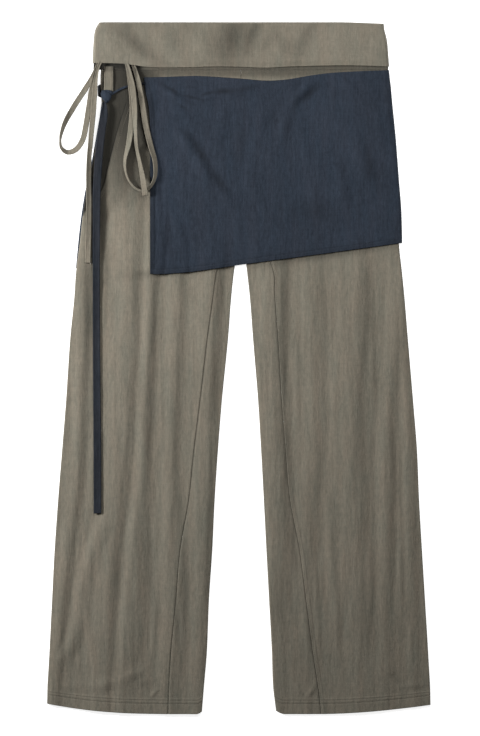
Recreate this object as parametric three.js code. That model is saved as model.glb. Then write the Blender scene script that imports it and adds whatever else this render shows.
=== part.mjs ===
// Wide-leg trousers with a fold-over waistband, a wrap apron over the hips and tie cords.
// They lie flat on their back, front upward. Millimetres, +Z up from the surface, +Y towards
// the waist, +X towards the wearer's left leg. The origin is the middle of their outline.
import * as THREE from "three";

// Cloth and layers
const CLOTH = 1.2;
const GAP = 0.3;
const LAYER = CLOTH + GAP;
const HALF = CLOTH / 2;

// Lengths along the garment, from the hem up
const HEM = -536;
const HEM_TURN = -440;
const CROTCH = 239;
const WAIST_SEAM = 462;
const WAIST_TOP = 536;
const CENTRE = 3.5;

// How much a leg's cloth is ruffled into lengthwise folds, and where they start
const FOLD_START_OPEN = 300;
const FOLD_FULL_OPEN = 170;
const FOLD_START_COVERED = 215;
const FOLD_FULL_COVERED = 130;
const FOLD_AT_HEM = 0.45;

// Where the front panel lies over the pocket piece, and how fast it settles again
const POCKET_UNDERLAP = 14;
const POCKET_SETTLE_FROM = 20;
const POCKET_SETTLE_TO = 45;
const POCKET_END = 258;

// Apron: its ends at the hem, and how it eases over what it lies on
const APRON_BACK_TOP = 456;
const APRON_BACK_HEM_LEFT = 155;
const APRON_BACK_HEM_RIGHT = 194;
const APRON_SIDE_LEFT = -249;
const APRON_SIDE_RIGHT = 253;
const APRON_STEP_LENGTH = 32;
const APRON_STEP_EASE = 3;
const APRON_EASE = 0.45;
const APRON_DRAPE = 11;
const APRON_LEVEL_SIDE = 12;
const APRON_SETTLE = 30;

// Waistband: the room inside its fold, and how far its inner layer is set in at the ends
const BAND_HOLLOW = 3.1;
const BAND_INSET = 5;
const KNOT = { x: -195, y: 497, wide: 24, tall: 17, thick: 4 };
const KNOT_ROOM = { height: 2.8, wide: 62, tall: 75 };

// Ties: cloth cords pressed flat
const DRAWSTRING_WIDTH = 8.5;
const NAVY_TIE_WIDTH = 12;
const LOOP_WIDTH = 14;
const LOOP_LEFT = -208.5;
const NAVY_STRAND_WIDTH = 7;
const BACK_STRAND_TOP = 441;
const BACK_STRAND_BOTTOM = 419;

const PAINT = {
  taupe: new THREE.MeshStandardMaterial({ color: 0x7c7669, roughness: 0.85, metalness: 0 }),
  navy: new THREE.MeshStandardMaterial({ color: 0x353e4a, roughness: 0.88, metalness: 0 }),
};

// Edges of the two legs: outer edge, inseam rolled onto the front, and inner edge
const RIGHT_LEG = {
  side: -1,
  edges: [
    { y: 462, outer: -213.5, seam: 3.2, inner: 3.2 },
    { y: 400, outer: -215.8, seam: 3.2, inner: 3.2 },
    { y: 315, outer: -229, seam: 3.2, inner: 3.2 },
    { y: 239, outer: -240.2, seam: -1.5, inner: 3.1 },
    { y: 191, outer: -246.6, seam: -19.8, inner: -1.2 },
    { y: 149, outer: -252.3, seam: -33.7, inner: -7.4 },
    { y: 106, outer: -255.4, seam: -39.9, inner: -12 },
    { y: 44, outer: -261.6, seam: -48.4, inner: -16.7 },
    { y: -49, outer: -267.8, seam: -59.3, inner: -26 },
    { y: -127, outer: -274, seam: -68.9, inner: -32.2 },
    { y: -204, outer: -280.2, seam: -77.1, inner: -37.3 },
    { y: -282, outer: -285.6, seam: -90.6, inner: -41 },
    { y: -359, outer: -289.5, seam: -97, inner: -46.1 },
    { y: -437, outer: -293.4, seam: -104.5, inner: -49.2 },
    { y: -499, outer: -296.4, seam: -108.1, inner: -53.9 },
    { y: -536, outer: -297.2, seam: -109.2, inner: -57 },
  ],
  hem: { flatTo: -98.8, rise: 12.4, over: 178.2, power: 2.5, corner: -66, cornerRise: 4.7, cornerOver: 9 },
  // Crest of each fold at three heights, how high it stands and how wide its sides are
  folds: [
    { top: -244, mid: -252, low: -279, height: 3, left: 20, right: 15, open: true },
    { top: -169, mid: -181, low: -210, height: 3.7, left: 38, right: 13, open: true },
    { top: -142, mid: -148, low: -165, height: 3.1, left: 15, right: 13, open: true },
    { top: -96, mid: -103, low: -107, height: 2.6, left: 21, right: 14, open: false },
    { top: -41, mid: -52, low: -62, height: 3.7, left: 30, right: 30, open: false },
  ],
};
const LEFT_LEG = {
  side: 1,
  edges: [
    { y: 462, outer: 228, seam: 3.8, inner: 3.8 },
    { y: 400, outer: 234, seam: 3.8, inner: 3.8 },
    { y: 315, outer: 241, seam: 3.8, inner: 3.8 },
    { y: 239, outer: 246.5, seam: 9, inner: 3.9 },
    { y: 191, outer: 248.4, seam: 36, inner: 8.1 },
    { y: 149, outer: 253, seam: 53.9, inner: 12.8 },
    { y: 106, outer: 257.2, seam: 56.2, inner: 17.4 },
    { y: 44, outer: 262.3, seam: 60.8, inner: 22.1 },
    { y: -49, outer: 270.1, seam: 66.3, inner: 29.8 },
    { y: -127, outer: 276.3, seam: 72.5, inner: 34.5 },
    { y: -204, outer: 279.5, seam: 79.4, inner: 38.7 },
    { y: -282, outer: 284, seam: 94.2, inner: 42.7 },
    { y: -359, outer: 288.7, seam: 104.2, inner: 46.9 },
    { y: -437, outer: 293.4, seam: 114.3, inner: 51.1 },
    { y: -499, outer: 296.4, seam: 123.6, inner: 53.1 },
    { y: -536, outer: 297.2, seam: 127.5, inner: 57.5 },
  ],
  hem: { flatTo: 126, rise: 14.3, over: 171, power: 1.7, corner: 72, cornerRise: 5.4, cornerOver: 14 },
  folds: [
    { top: 45, mid: 52, low: 59, height: 3.7, left: 32, right: 25, open: false },
    { top: 115, mid: 117, low: 107, height: 2.9, left: 28, right: 14, open: false },
    { top: 179, mid: 176, low: 176, height: 3.6, left: 38, right: 19, open: false },
    { top: 243, mid: 227, low: 225, height: 2.2, left: 24, right: 12, open: false },
    { top: 256, mid: 262, low: 268, height: 1.7, left: 12, right: 12, open: false },
  ],
};
const FOLD_HEIGHTS = { top: 121, mid: -127, low: -390 };

// The slant pocket on the wearer's right: the front panel is cut back along this edge
const POCKET_EDGE = [
  { y: 462, x: -158 },
  { y: 423, x: -167 },
  { y: 370, x: -187 },
  { y: 310, x: -203.5 },
  { y: 275, x: -213 },
  { y: 250, x: -231 },
  { y: 239, x: -240.2 },
];

// Waistband outline: its ends, and its lower edge on the outside
const BAND_SIDES = [
  { y: 536, left: -216.5, right: 224.5 },
  { y: 524, left: -222.8, right: 226 },
  { y: 508, left: -225, right: 229.8 },
  { y: 493, left: -226, right: 231.3 },
  { y: 466, left: -227, right: 233.3 },
];
const BAND_EDGE = [
  { x: -227, y: 473.5 },
  { x: -178, y: 471.2 },
  { x: -138, y: 467.2 },
  { x: 75, y: 467.8 },
  { x: 165, y: 469.4 },
  { x: 234, y: 467.2 },
];

// Apron front: upper edge, hem and side
const APRON_TOP = [
  { x: -139, y: 453 },
  { x: -119, y: 453.5 },
  { x: -60, y: 454.5 },
  { x: 0, y: 449.5 },
  { x: 41, y: 446.5 },
  { x: 72, y: 448 },
  { x: 110, y: 454 },
  { x: 141, y: 458 },
  { x: 188, y: 461 },
  { x: 234, y: 462.5 },
];
const APRON_HEM = [
  { x: -137, y: 146 },
  { x: -122, y: 145.5 },
  { x: -70, y: 149.6 },
  { x: 13, y: 161.5 },
  { x: 118, y: 175.5 },
  { x: 253, y: 194 },
];
const APRON_SIDES = [
  { y: 462, left: -139, right: 233 },
  { y: 400, left: -137.4, right: 239.1 },
  { y: 354, left: -137.4, right: 243.7 },
  { y: 292, left: -137.4, right: 248.4 },
  { y: 240, left: -137.4, right: 252.3 },
  { y: 146, left: -137.2, right: 253.4 },
];
// Soft creases pressed into the apron, from one end to the other
const APRON_CREASES = [
  { x1: -99, y1: 440, x2: -55, y2: 417, height: 1.6, half: 9 },
  { x1: -57, y1: 418, x2: 12, y2: 438, height: 1.8, half: 9 },
  { x1: -95, y1: 380, x2: 5, y2: 258, height: 1.5, half: 16 },
  { x1: 118, y1: 452, x2: 72, y2: 405, height: 1.5, half: 18 },
  { x1: 175, y1: 372, x2: 200, y2: 270, height: 1.2, half: 20 },
];
const APRON_BACK_SIDES = [
  { y: 456, left: -211.5, right: 232.9 },
  { y: 440, left: -211.5, right: 235.4 },
  { y: 410, left: -212, right: 238.2 },
  { y: 354, left: -221, right: 243.7 },
  { y: 315, left: -228.5, right: 246.6 },
  { y: 260, left: -240.6, right: 250.8 },
  { y: 240, left: -243.9, right: 252.3 },
  { y: 194, left: -248.6, right: 253.4 },
  { y: 155, left: -252.6, right: 253.4 },
];

// Curves and small measures

// The value of a column at a place: a smooth curve through the rows, level beyond their ends.
function curve(table, by, column) {
  const rows = [...table].sort((a, b) => a[by] - b[by]);
  const slope = (i) => {
    const before = rows[Math.max(i - 1, 0)];
    const after = rows[Math.min(i + 1, rows.length - 1)];
    return (after[column] - before[column]) / (after[by] - before[by]);
  };
  return (place) => {
    const found = rows.findIndex((row) => row[by] > place);
    const next = found < 0 ? rows.length - 1 : Math.max(found, 1);
    const a = rows[next - 1];
    const b = rows[next];
    const reach = b[by] - a[by];
    const s = THREE.MathUtils.clamp((place - a[by]) / reach, 0, 1);
    const s2 = s * s;
    const s3 = s2 * s;
    return (2 * s3 - 3 * s2 + 1) * a[column] + (s3 - 2 * s2 + s) * reach * slope(next - 1)
      + (3 * s2 - 2 * s3) * b[column] + (s3 - s2) * reach * slope(next);
  };
}

const smooth = THREE.MathUtils.smoothstep;
const mix = THREE.MathUtils.lerp;
const steps = (count) => Array.from({ length: count + 1 }, (_, k) => k / count);

// Raised cosine: 1 at the crest, 0 from one width away.
function bump(offset, width) {
  const t = Math.min(Math.abs(offset) / width, 1);
  return 0.5 + 0.5 * Math.cos(Math.PI * t);
}

// Closed walls

// A wall from rows of [upper, lower] points: a quad on each face of every cell that is present,
// and a strip round every free edge.
function wall(name, paint, rows, present = () => true) {
  const numbers = new Map();
  const positions = [];
  const index = [];
  const point = (j, i, face) => {
    const key = `${j} ${i} ${face}`;
    if (!numbers.has(key)) {
      numbers.set(key, positions.length / 3);
      positions.push(...rows[j][i][face].toArray());
    }
    return numbers.get(key);
  };
  const quad = (a, b, c, d) => index.push(a, b, c, a, c, d);
  const here = (j, i) =>
    j >= 0 && i >= 0 && j < rows.length - 1 && i < rows[0].length - 1 && present(j, i);
  for (let j = 0; j < rows.length - 1; j += 1) {
    for (let i = 0; i < rows[0].length - 1; i += 1) {
      if (!here(j, i)) continue;
      const corners = [[j, i], [j, i + 1], [j + 1, i + 1], [j + 1, i]];
      const neighbours = [[j - 1, i], [j, i + 1], [j + 1, i], [j, i - 1]];
      quad(...corners.map(([r, c]) => point(r, c, 0)));
      quad(...corners.map(([r, c]) => point(r, c, 1)).reverse());
      neighbours.forEach(([r, c], k) => {
        if (here(r, c)) return;
        const p = corners[k];
        const q = corners[(k + 1) % 4];
        quad(point(...q, 0), point(...p, 0), point(...p, 1), point(...q, 1));
      });
    }
  }
  const geometry = new THREE.BufferGeometry();
  geometry.setAttribute("position", new THREE.Float32BufferAttribute(positions, 3));
  geometry.setIndex(volume(positions, index) < 0 ? index.reverse() : index);
  geometry.computeVertexNormals();
  const mesh = new THREE.Mesh(geometry, paint);
  mesh.name = name;
  return mesh;
}

// Six times the signed volume inside the triangles: positive when they face outward.
function volume(positions, index) {
  const at = (k) => new THREE.Vector3().fromArray(positions, 3 * index[k]);
  let sum = 0;
  for (let k = 0; k < index.length; k += 3) sum += at(k).dot(at(k + 1).cross(at(k + 2)));
  return sum;
}

// Two points on either face of a wall whose lower face is at a height.
const plate = (x, y, under) => [
  new THREE.Vector3(x, y, under + CLOTH),
  new THREE.Vector3(x, y, under),
];

// Points on either side of a middle line, across it at an angle from level.
function across(x, y, z, angle, normal) {
  const away = normal(Math.cos(angle) * HALF, Math.sin(angle) * HALF);
  const middle = new THREE.Vector3(x, y, z);
  return [middle.clone().add(away), middle.clone().sub(away)];
}

// The highest point of the pieces within a reach of a place, or the surface they lie on.
const caster = new THREE.Raycaster();
function restingHeight(pieces, x, y, reach = 0) {
  const places = [[0, 0], [1, 0], [-1, 0], [0, 1], [0, -1], [0.7, 0.7], [-0.7, 0.7],
    [0.7, -0.7], [-0.7, -0.7]];
  const tried = reach > 0 ? places : places.slice(0, 1);
  return Math.max(...tried.map(([u, v]) => {
    caster.set(new THREE.Vector3(x + u * reach, y + v * reach, 100), new THREE.Vector3(0, 0, -1));
    const hit = caster.intersectObjects(pieces, false)[0];
    return hit ? hit.point.z : 0;
  }));
}

// Trouser legs

// How far the trousers are lifted by the apron's back under them.
function lift(x, y) {
  const share = (x - APRON_SIDE_LEFT) / (APRON_SIDE_RIGHT - APRON_SIDE_LEFT);
  const hem = mix(APRON_BACK_HEM_LEFT, APRON_BACK_HEM_RIGHT, share);
  return LAYER * smooth(y, hem - APRON_STEP_LENGTH, hem - APRON_STEP_EASE);
}

// Height of the lengthwise folds: each a soft ridge whose crest wanders down the leg.
function folds(leg, x, y) {
  const levels = FOLD_HEIGHTS;
  const atHem = mix(FOLD_AT_HEM, 1, smooth(y, HEM, HEM_TURN));
  return leg.folds.reduce((sum, fold) => {
    const wander = [
      { y: levels.top, x: fold.top },
      { y: levels.mid, x: fold.mid },
      { y: levels.low, x: fold.low },
    ];
    const offset = x - curve(wander, "y", "x")(y);
    const begins = fold.open
      ? 1 - smooth(y, FOLD_FULL_OPEN, FOLD_START_OPEN)
      : 1 - smooth(y, FOLD_FULL_COVERED, FOLD_START_COVERED);
    return sum + fold.height * begins * atHem * bump(offset, offset < 0 ? fold.left : fold.right);
  }, 0);
}

// The hem rises towards the leg's outer edge and is rounded at the inner corner.
function hemRise(leg, x) {
  const { flatTo, rise, over, power, corner, cornerRise, cornerOver } = leg.hem;
  const outward = Math.max(0, (x - flatTo) * leg.side);
  const inward = Math.max(0, (corner - x) * leg.side);
  return rise * (outward / over) ** power + cornerRise * (inward / cornerOver) ** 2;
}
const down = (leg, x, y) => y + hemRise(leg, x) * (1 - smooth(y, HEM, HEM_TURN));

const BODY_LEVELS = [WAIST_SEAM, 438, 410, 380, 350, 315, 282, 258, CROTCH];
const LEG_LEVELS = [215, 196, 176, 156, 136, 110, 75, 35, -10, -60, -110, -160, -210, -260,
  -310, -360, -405, -445, -480, -510, HEM];
const LEVELS = [...BODY_LEVELS, ...LEG_LEVELS];
const CROTCH_ROW = BODY_LEVELS.length - 1;

// The front panel runs from the outer edge to the inseam, cut back along the pocket.
function frontPanel(name, leg, pocket) {
  const outer = curve(leg.edges, "y", "outer");
  const seam = curve(leg.edges, "y", "seam");
  const pocketEdge = curve(POCKET_EDGE, "y", "x");
  const columns = 22;
  const rows = LEVELS.map((y) => {
    const open = pocket && y > CROTCH;
    const from = open ? pocketEdge(y) : outer(y);
    const to = seam(y) + leg.side * GAP;
    return steps(columns).map((s) => {
      const x = mix(from, to, s);
      const settled = smooth(x - from, POCKET_SETTLE_FROM, POCKET_SETTLE_TO);
      const over = open ? LAYER * (1 - settled) : 0;
      const under = lift(x, y) + LAYER + over + folds(leg, x, y);
      return plate(x, down(leg, x, y), under);
    });
  });
  return wall(name, PAINT.taupe, rows);
}

// The back panel lies under the front, turns round the leg's inner edge and ends at the inseam.
function backPanel(name, leg) {
  const outer = curve(leg.edges, "y", "outer");
  const inner = curve(leg.edges, "y", "inner");
  const seam = curve(leg.edges, "y", "seam");
  const below = 6;
  const turned = 5;
  const returned = 5;
  const rows = LEVELS.map((y, row) => {
    const edge = inner(y);
    const s = leg.side;
    const top = (x) => lift(x, y) + LAYER + HALF + folds(leg, x, y);
    const bottom = lift(edge, y) + HALF;
    const radius = (top(edge + s * CLOTH) - bottom) / 2;
    const turn = row < CROTCH_ROW ? edge : edge + s * (HALF + radius);
    const lower = steps(below).map((t) => {
      const x = mix(outer(y), turn, t);
      return plate(x, down(leg, x, y), lift(x, y)).reverse();
    });
    const round = steps(turned).slice(1).map((t) => {
      const angle = Math.PI * t;
      const x = turn - s * radius * Math.sin(angle);
      const z = bottom + radius - radius * Math.cos(angle);
      const slant = (u, v) => new THREE.Vector3(-s * v, 0, -u);
      return across(x, down(leg, x, y), z, angle, slant);
    });
    const upper = steps(returned).slice(1).map((t) => {
      const x = mix(turn, seam(y), t);
      const rest = plate(x, down(leg, x, y), top(x) - HALF);
      const settle = (bottom + 2 * radius - top(turn)) * (1 - t) ** 2;
      return rest.map((p) => p.setZ(p.z + settle));
    });
    return [...lower, ...round, ...upper];
  });
  return wall(name, PAINT.taupe, rows, (j, i) => j >= CROTCH_ROW || i < below);
}

// The hip piece that shows beside the slant pocket, under the front panel's edge.
function pocketPiece() {
  const outer = curve(RIGHT_LEG.edges, "y", "outer");
  const edge = curve(POCKET_EDGE, "y", "x");
  const levels = BODY_LEVELS.filter((y) => y > POCKET_END);
  const rows = [...levels, POCKET_END].map((y) => steps(6).map((s) => {
    const x = mix(outer(y), edge(y) + POCKET_UNDERLAP, s);
    return plate(x, y, lift(x, y) + LAYER);
  }));
  return wall("pocket_piece", PAINT.taupe, rows);
}

const backs = [backPanel("back_right", RIGHT_LEG), backPanel("back_left", LEFT_LEG)];
const fronts = [frontPanel("front_right", RIGHT_LEG, true), frontPanel("front_left", LEFT_LEG, false)];
const pocket = pocketPiece();
const trousers = [...backs, ...fronts, pocket];

// Apron

// The front of the apron drapes over the trousers and turns down round the right-hand side.
function apronFront() {
  const top = curve(APRON_TOP, "x", "y");
  const hem = curve(APRON_HEM, "x", "y");
  const left = curve(APRON_SIDES, "y", "left");
  const right = curve(APRON_SIDES, "y", "right");
  const turned = 3;
  const rows = steps(13).map((v) => {
    const level = mix(APRON_BACK_TOP, APRON_BACK_HEM_LEFT, v);
    const side = right(mix(WAIST_SEAM, APRON_BACK_HEM_RIGHT, v));
    const place = (x) => new THREE.Vector2(x, mix(top(x), hem(x), v));
    const creased = (x, y) => APRON_CREASES.reduce((sum, crease) => {
      const from = new THREE.Vector2(crease.x1, crease.y1);
      const along = new THREE.Vector2(crease.x2, crease.y2).sub(from);
      const here = new THREE.Vector2(x, y).sub(from);
      const t = THREE.MathUtils.clamp(here.dot(along) / along.lengthSq(), 0, 1);
      const off = here.sub(along.clone().multiplyScalar(t)).length();
      return sum + crease.height * bump(off, crease.half) * bump(t - 0.5, 0.75);
    }, 0);
    const height = (x, y) => restingHeight(trousers, x, y, APRON_DRAPE) + APRON_EASE + creased(x, y);
    const sideY = place(side).y;
    const middle = height(side - APRON_LEVEL_SIDE, sideY) + HALF;
    const low = lift(side, sideY);
    const radius = middle - low;
    const turn = side - HALF - radius;
    const flat = steps(17).map((s) => {
      const x = mix(left(level), turn, s);
      const { y } = place(x);
      const near = smooth(x, turn - APRON_SETTLE, turn);
      return plate(x, y, mix(height(x, y), middle - HALF, near));
    });
    const round = steps(turned).slice(1).map((t) => {
      const angle = Math.PI / 2 * (1 - t);
      const x = turn + radius * Math.cos(angle);
      const normal = (u, w) => new THREE.Vector3(u, 0, w);
      return across(x, sideY, low + radius * Math.sin(angle), angle, normal);
    });
    return [...flat, ...round];
  });
  return wall("apron_front", PAINT.navy, rows);
}

function apronBack() {
  const left = curve(APRON_BACK_SIDES, "y", "left");
  const right = curve(APRON_BACK_SIDES, "y", "right");
  const rows = steps(12).map((v) => steps(8).map((s) => {
    const hem = mix(APRON_BACK_HEM_LEFT, APRON_BACK_HEM_RIGHT, s);
    const y = mix(APRON_BACK_TOP, hem, v);
    return plate(mix(left(y), right(y), s), y, 0);
  }));
  return wall("apron_back", PAINT.navy, rows);
}

const aprons = [apronFront(), apronBack()];

// Waistband, folded over outward on both sides

// One half of the band, as a hairpin: the inner layer rises from the waist seam, turns over the
// top and comes down outside. Its outer layer turns towards the other half at both ends.
function band(name, innerUnder, outerUnder, endUnder, bulge) {
  const sideLeft = curve(BAND_SIDES, "y", "left");
  const sideRight = curve(BAND_SIDES, "y", "right");
  const lowerEdge = curve(BAND_EDGE, "x", "y");
  const up = Math.sign(outerUnder - innerUnder);
  const foldLine = WAIST_TOP - 4;
  const inside = 4;
  const turned = 4;
  const outside = 6;
  const ends = endUnder === null ? 0 : 3;
  const columns = 15;
  const section = (s, end) => {
    const acrossBand = (y) => mix(sideLeft(y) + BAND_INSET, sideRight(y) - BAND_INSET, s);
    const x0 = acrossBand(KNOT.y);
    const innerMiddle = innerUnder + HALF;
    const outerMiddle = outerUnder + HALF + up * bulge(x0, foldLine);
    const radius = Math.abs(outerMiddle - innerMiddle) / 2;
    const foldY = WAIST_TOP - HALF - radius;
    const inner = steps(inside).map((t) => {
      const y = mix(WAIST_SEAM + GAP, foldY, t);
      const pair = plate(acrossBand(y), y, innerUnder);
      return up > 0 ? pair : pair.reverse();
    });
    const round = steps(turned).slice(1, -1).map((t) => {
      const angle = Math.PI * t;
      const y = foldY + radius * Math.sin(angle);
      const z = (innerMiddle + outerMiddle) / 2 - up * radius * Math.cos(angle);
      const normal = (u, w) => new THREE.Vector3(0, -w, up * u);
      return across(acrossBand(y), y, z, angle, normal);
    });
    const outer = steps(outside).map((t) => {
      const y = mix(foldY, lowerEdge(x0), t);
      const z = outerUnder + HALF + up * bulge(x0, y);
      if (end === 0) {
        const pair = plate(acrossBand(y), y, z - HALF);
        return up > 0 ? pair.reverse() : pair;
      }
      const side = Math.sign(end);
      const angle = (Math.PI / 2) * (1 - Math.abs(end));
      const x = acrossBand(y) + side * (BAND_INSET - HALF) * Math.cos(angle);
      const middle = endUnder + (z - endUnder) * Math.sin(angle);
      const normal = (u, w) => new THREE.Vector3(side * u, 0, w);
      return across(x, y, middle, angle, normal).reverse();
    });
    return [...inner, ...round, ...outer];
  };
  const places = [
    ...steps(ends).slice(0, ends).map((t) => [0, -(1 - t)]),
    ...steps(columns).map((s) => [s, 0]),
    ...steps(ends).slice(1, ends + 1).map((t) => [1, t]),
  ];
  const rows = places.map(([s, end]) => section(s, end));
  const firstOuter = inside + turned;
  const inMiddle = (j) => j >= ends && j < ends + columns;
  return wall(name, PAINT.taupe, rows, (j, i) => inMiddle(j) || i >= firstOuter);
}

// Room for the knot between the layers, near the wearer's right side.
const knotRoom = (x, y) =>
  KNOT_ROOM.height * bump(x - KNOT.x, KNOT_ROOM.wide) * bump(y - KNOT.y, KNOT_ROOM.tall);
const level = () => 0;
const bands = [
  band("band_front", 2 * LAYER, 3 * LAYER + BAND_HOLLOW, LAYER, knotRoom),
  band("band_back", LAYER, 0, null, level),
];

// Ties

// A flat tie: a strip of a width that follows a smooth path and turns about it.
function tie(name, paint, width, route, under, options = {}) {
  const { spacing = 2.2 * width, reach = 0.6 * spacing, thick = CLOTH } = options;
  const line = new THREE.CatmullRomCurve3(
    route.map((p) => new THREE.Vector3(p.x, p.y, 0)), false, "centripetal");
  const count = Math.max(4, Math.ceil(line.getLength() / spacing));
  const value = (column, t) => {
    const k = Math.min(Math.floor(t * (route.length - 1)), route.length - 2);
    const part = t * (route.length - 1) - k;
    return mix(route[k][column] ?? 0, route[k + 1][column] ?? 0, part);
  };
  const rows = steps(count).map((share) => {
    const t = line.getUtoTmapping(share);
    const middle = line.getPoint(t);
    const ahead = line.getTangent(t);
    const turn = THREE.MathUtils.degToRad(value("turn", t));
    const half = (width / 2) * (1 - value("slim", t));
    const side = new THREE.Vector3(ahead.y, -ahead.x, 0).normalize();
    const rest = Math.max(...[-1, 0, 1].map((k) => restingHeight(
      under, middle.x + k * side.x * half, middle.y + k * side.y * half, reach)));
    const z = rest + GAP + value("lift", t)
      + half * Math.abs(Math.sin(turn)) + (thick / 2) * Math.abs(Math.cos(turn));
    const flat = side.clone().multiplyScalar(Math.cos(turn)).setZ(Math.sin(turn));
    const normal = side.clone().multiplyScalar(-Math.sin(turn)).setZ(Math.cos(turn));
    return [-1, 1].map((k) => [1, -1].map((face) => new THREE.Vector3(middle.x, middle.y, z)
      .addScaledVector(flat, k * half)
      .addScaledVector(normal, face * thick / 2)));
  });
  return wall(name, paint, rows);
}

// A knot: a flattened round lump of tied cloth, narrower towards one end.
function knot(name, paint, { x, y, wide, tall, thick, narrow = 0 }, under) {
  const geometry = new THREE.SphereGeometry(1, 12, 8);
  geometry.scale(wide / 2, tall / 2, thick / 2);
  const place = geometry.getAttribute("position");
  for (let k = 0; k < place.count; k += 1) {
    const t = (place.getY(k) / (tall / 2) + 1) / 2;
    place.setX(k, place.getX(k) * mix(1 - narrow, 1, t));
  }
  geometry.translate(x, y, under + GAP + thick / 2);
  geometry.computeVertexNormals();
  const mesh = new THREE.Mesh(geometry, paint);
  mesh.name = name;
  return mesh;
}

const sideLoop = wall("side_loop", PAINT.taupe, steps(4).map((t) => {
  const y = mix(WAIST_SEAM - 0.5, 428.5, t);
  const arch = 0.9 * Math.sin(Math.PI * t);
  return steps(2).map((s) => plate(mix(LOOP_LEFT, LOOP_LEFT + LOOP_WIDTH, s), y,
    restingHeight(trousers, LOOP_LEFT + LOOP_WIDTH / 2, y, 6) + GAP + arch));
}));

// The apron's ties: one from each upper corner, knotted at the side, and the long end
const NAVY_KNOT = { x: -205.5, y: 419.5, wide: 19, tall: 15, thick: 5, narrow: 0.45 };
const navyKnot = knot("apron_knot", PAINT.navy, NAVY_KNOT, restingHeight(trousers, -205, 419, 8));
const frontStrand = tie("apron_tie_front", PAINT.navy, NAVY_STRAND_WIDTH, [
  { x: -139.6, y: 443.6, slim: 0.1 },
  { x: -156, y: 440, slim: 0.3 },
  { x: -171.7, y: 436.6, slim: 0.35 },
  { x: -184, y: 431.8, slim: 0.35 },
  { x: -196.6, y: 423.6, slim: 0.2 },
], trousers, { spacing: 10, thick: 2 * CLOTH });
const backStrand = wall("apron_tie_back", PAINT.navy, [
  { x: -212.4, z: HALF, up: 0, down: 1 },
  { x: -216, z: HALF, up: 0.25, down: 1 },
  { x: -217.7, z: 2.2, up: 0.5, down: 0.9 },
  { x: -217.7, z: 4.4, up: 0.8, down: 0.6 },
  { x: -216.4, z: 6.4, up: 1, down: 0.2 },
].map((row, k, route) => {
  const before = route[Math.max(k - 1, 0)];
  const after = route[Math.min(k + 1, route.length - 1)];
  const ahead = new THREE.Vector2(after.x - before.x, after.z - before.z).normalize();
  return [0, 1].map((s) => {
    const y = mix(BACK_STRAND_TOP - 6 * row.up, BACK_STRAND_BOTTOM + 5 * row.up, s);
    const middle = new THREE.Vector3(row.x, y, row.z);
    const away = new THREE.Vector3(-ahead.y, 0, ahead.x).multiplyScalar(HALF);
    return [middle.clone().add(away), middle.clone().sub(away)];
  });
}));
const navyTail = tie("apron_tie_tail", PAINT.navy, NAVY_TIE_WIDTH, [
  { x: -210.2, y: 411.4, lift: 2, slim: 0.3 },
  { x: -208.4, y: 395, lift: 3, slim: 0 },
  { x: -211.5, y: 369, lift: 3, slim: 0 },
  { x: -216, y: 327, lift: 2, slim: 0 },
  { x: -219.5, y: 280, lift: 1.5, slim: 0 },
  { x: -220.3, y: 220, lift: 0.8, slim: 0.05 },
  { x: -220.6, y: 160, lift: 0, slim: 0.08 },
  { x: -220.5, y: 59, lift: 0, slim: 0.06 },
  { x: -219.7, y: -49, lift: 0, slim: 0.04 },
  { x: -219, y: -142, lift: 0, slim: 0.02 },
  { x: -218.8, y: -225, lift: 0, slim: 0.02 },
], [...trousers, aprons[1]]);

// The drawstring: a bow tied inside the fold of the waistband, with two loops and two ends
const drawKnot = knot("drawstring_knot", PAINT.taupe, KNOT, 3 * LAYER - GAP);
// The band's inner layer, which the strings cross before they leave the fold.
const bandFloor = new THREE.Mesh(new THREE.BoxGeometry(440, WAIST_TOP - WAIST_SEAM, CLOTH));
bandFloor.position.set(CENTRE, (WAIST_TOP + WAIST_SEAM) / 2, 2 * LAYER + HALF);
bandFloor.updateMatrixWorld();
const resting = [...trousers, ...aprons, frontStrand, bandFloor];
const loopRight = tie("drawstring_loop_right", PAINT.taupe, DRAWSTRING_WIDTH, [
  { x: -208.2, y: 497, slim: 0.5, lift: 0 },
  { x: -217, y: 482, slim: 0.45, lift: 0 },
  { x: -219.3, y: 471, slim: 0.4, lift: 0 },
  { x: -224.4, y: 457.6, slim: 0.2, lift: 3.8 },
  { x: -236.8, y: 434.3, lift: 1.5 },
  { x: -256.9, y: 403.3, turn: 10 },
  { x: -270.9, y: 377, turn: 45 },
  { x: -276.6, y: 353.7, turn: 78 },
  { x: -274.7, y: 341.3, turn: 60 },
  { x: -265.4, y: 334.3, turn: 35 },
  { x: -252.3, y: 339, turn: 15 },
  { x: -242.2, y: 353.7, turn: 0 },
  { x: -236.8, y: 377, turn: 0 },
  { x: -232.6, y: 403.3, turn: 0 },
  { x: -228.4, y: 428, turn: 0, lift: 2.5 },
  { x: -223.9, y: 452, slim: 0.2, lift: 5.3 },
  { x: -219.1, y: 471, slim: 0.45, lift: LAYER },
  { x: -216, y: 482, slim: 0.5, lift: LAYER },
  { x: -208, y: 494, slim: 0.55, lift: LAYER },
], resting, { spacing: 11 });
const tailRight = tie("drawstring_tail_right", PAINT.taupe, DRAWSTRING_WIDTH, [
  { x: -203.5, y: 486.5, slim: 0.5 },
  { x: -208.5, y: 479, slim: 0.45 },
  { x: -212.3, y: 472, slim: 0.4 },
  { x: -218.8, y: 452, slim: 0.3, lift: 0.5 },
  { x: -222.7, y: 432, slim: 0.15, lift: 1 },
  { x: -224.6, y: 404 },
  { x: -228.6, y: 362, slim: 0.1 },
  { x: -231.6, y: 330, slim: 0.1, turn: 20 },
  { x: -232.6, y: 300, turn: 25 },
  { x: -232.2, y: 253, turn: 20, slim: 0.05, lift: 0.8 },
  { x: -232.9, y: 206, turn: 10 },
  { x: -234, y: 163 },
], [...resting, loopRight], { spacing: 14, reach: 3 });
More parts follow.
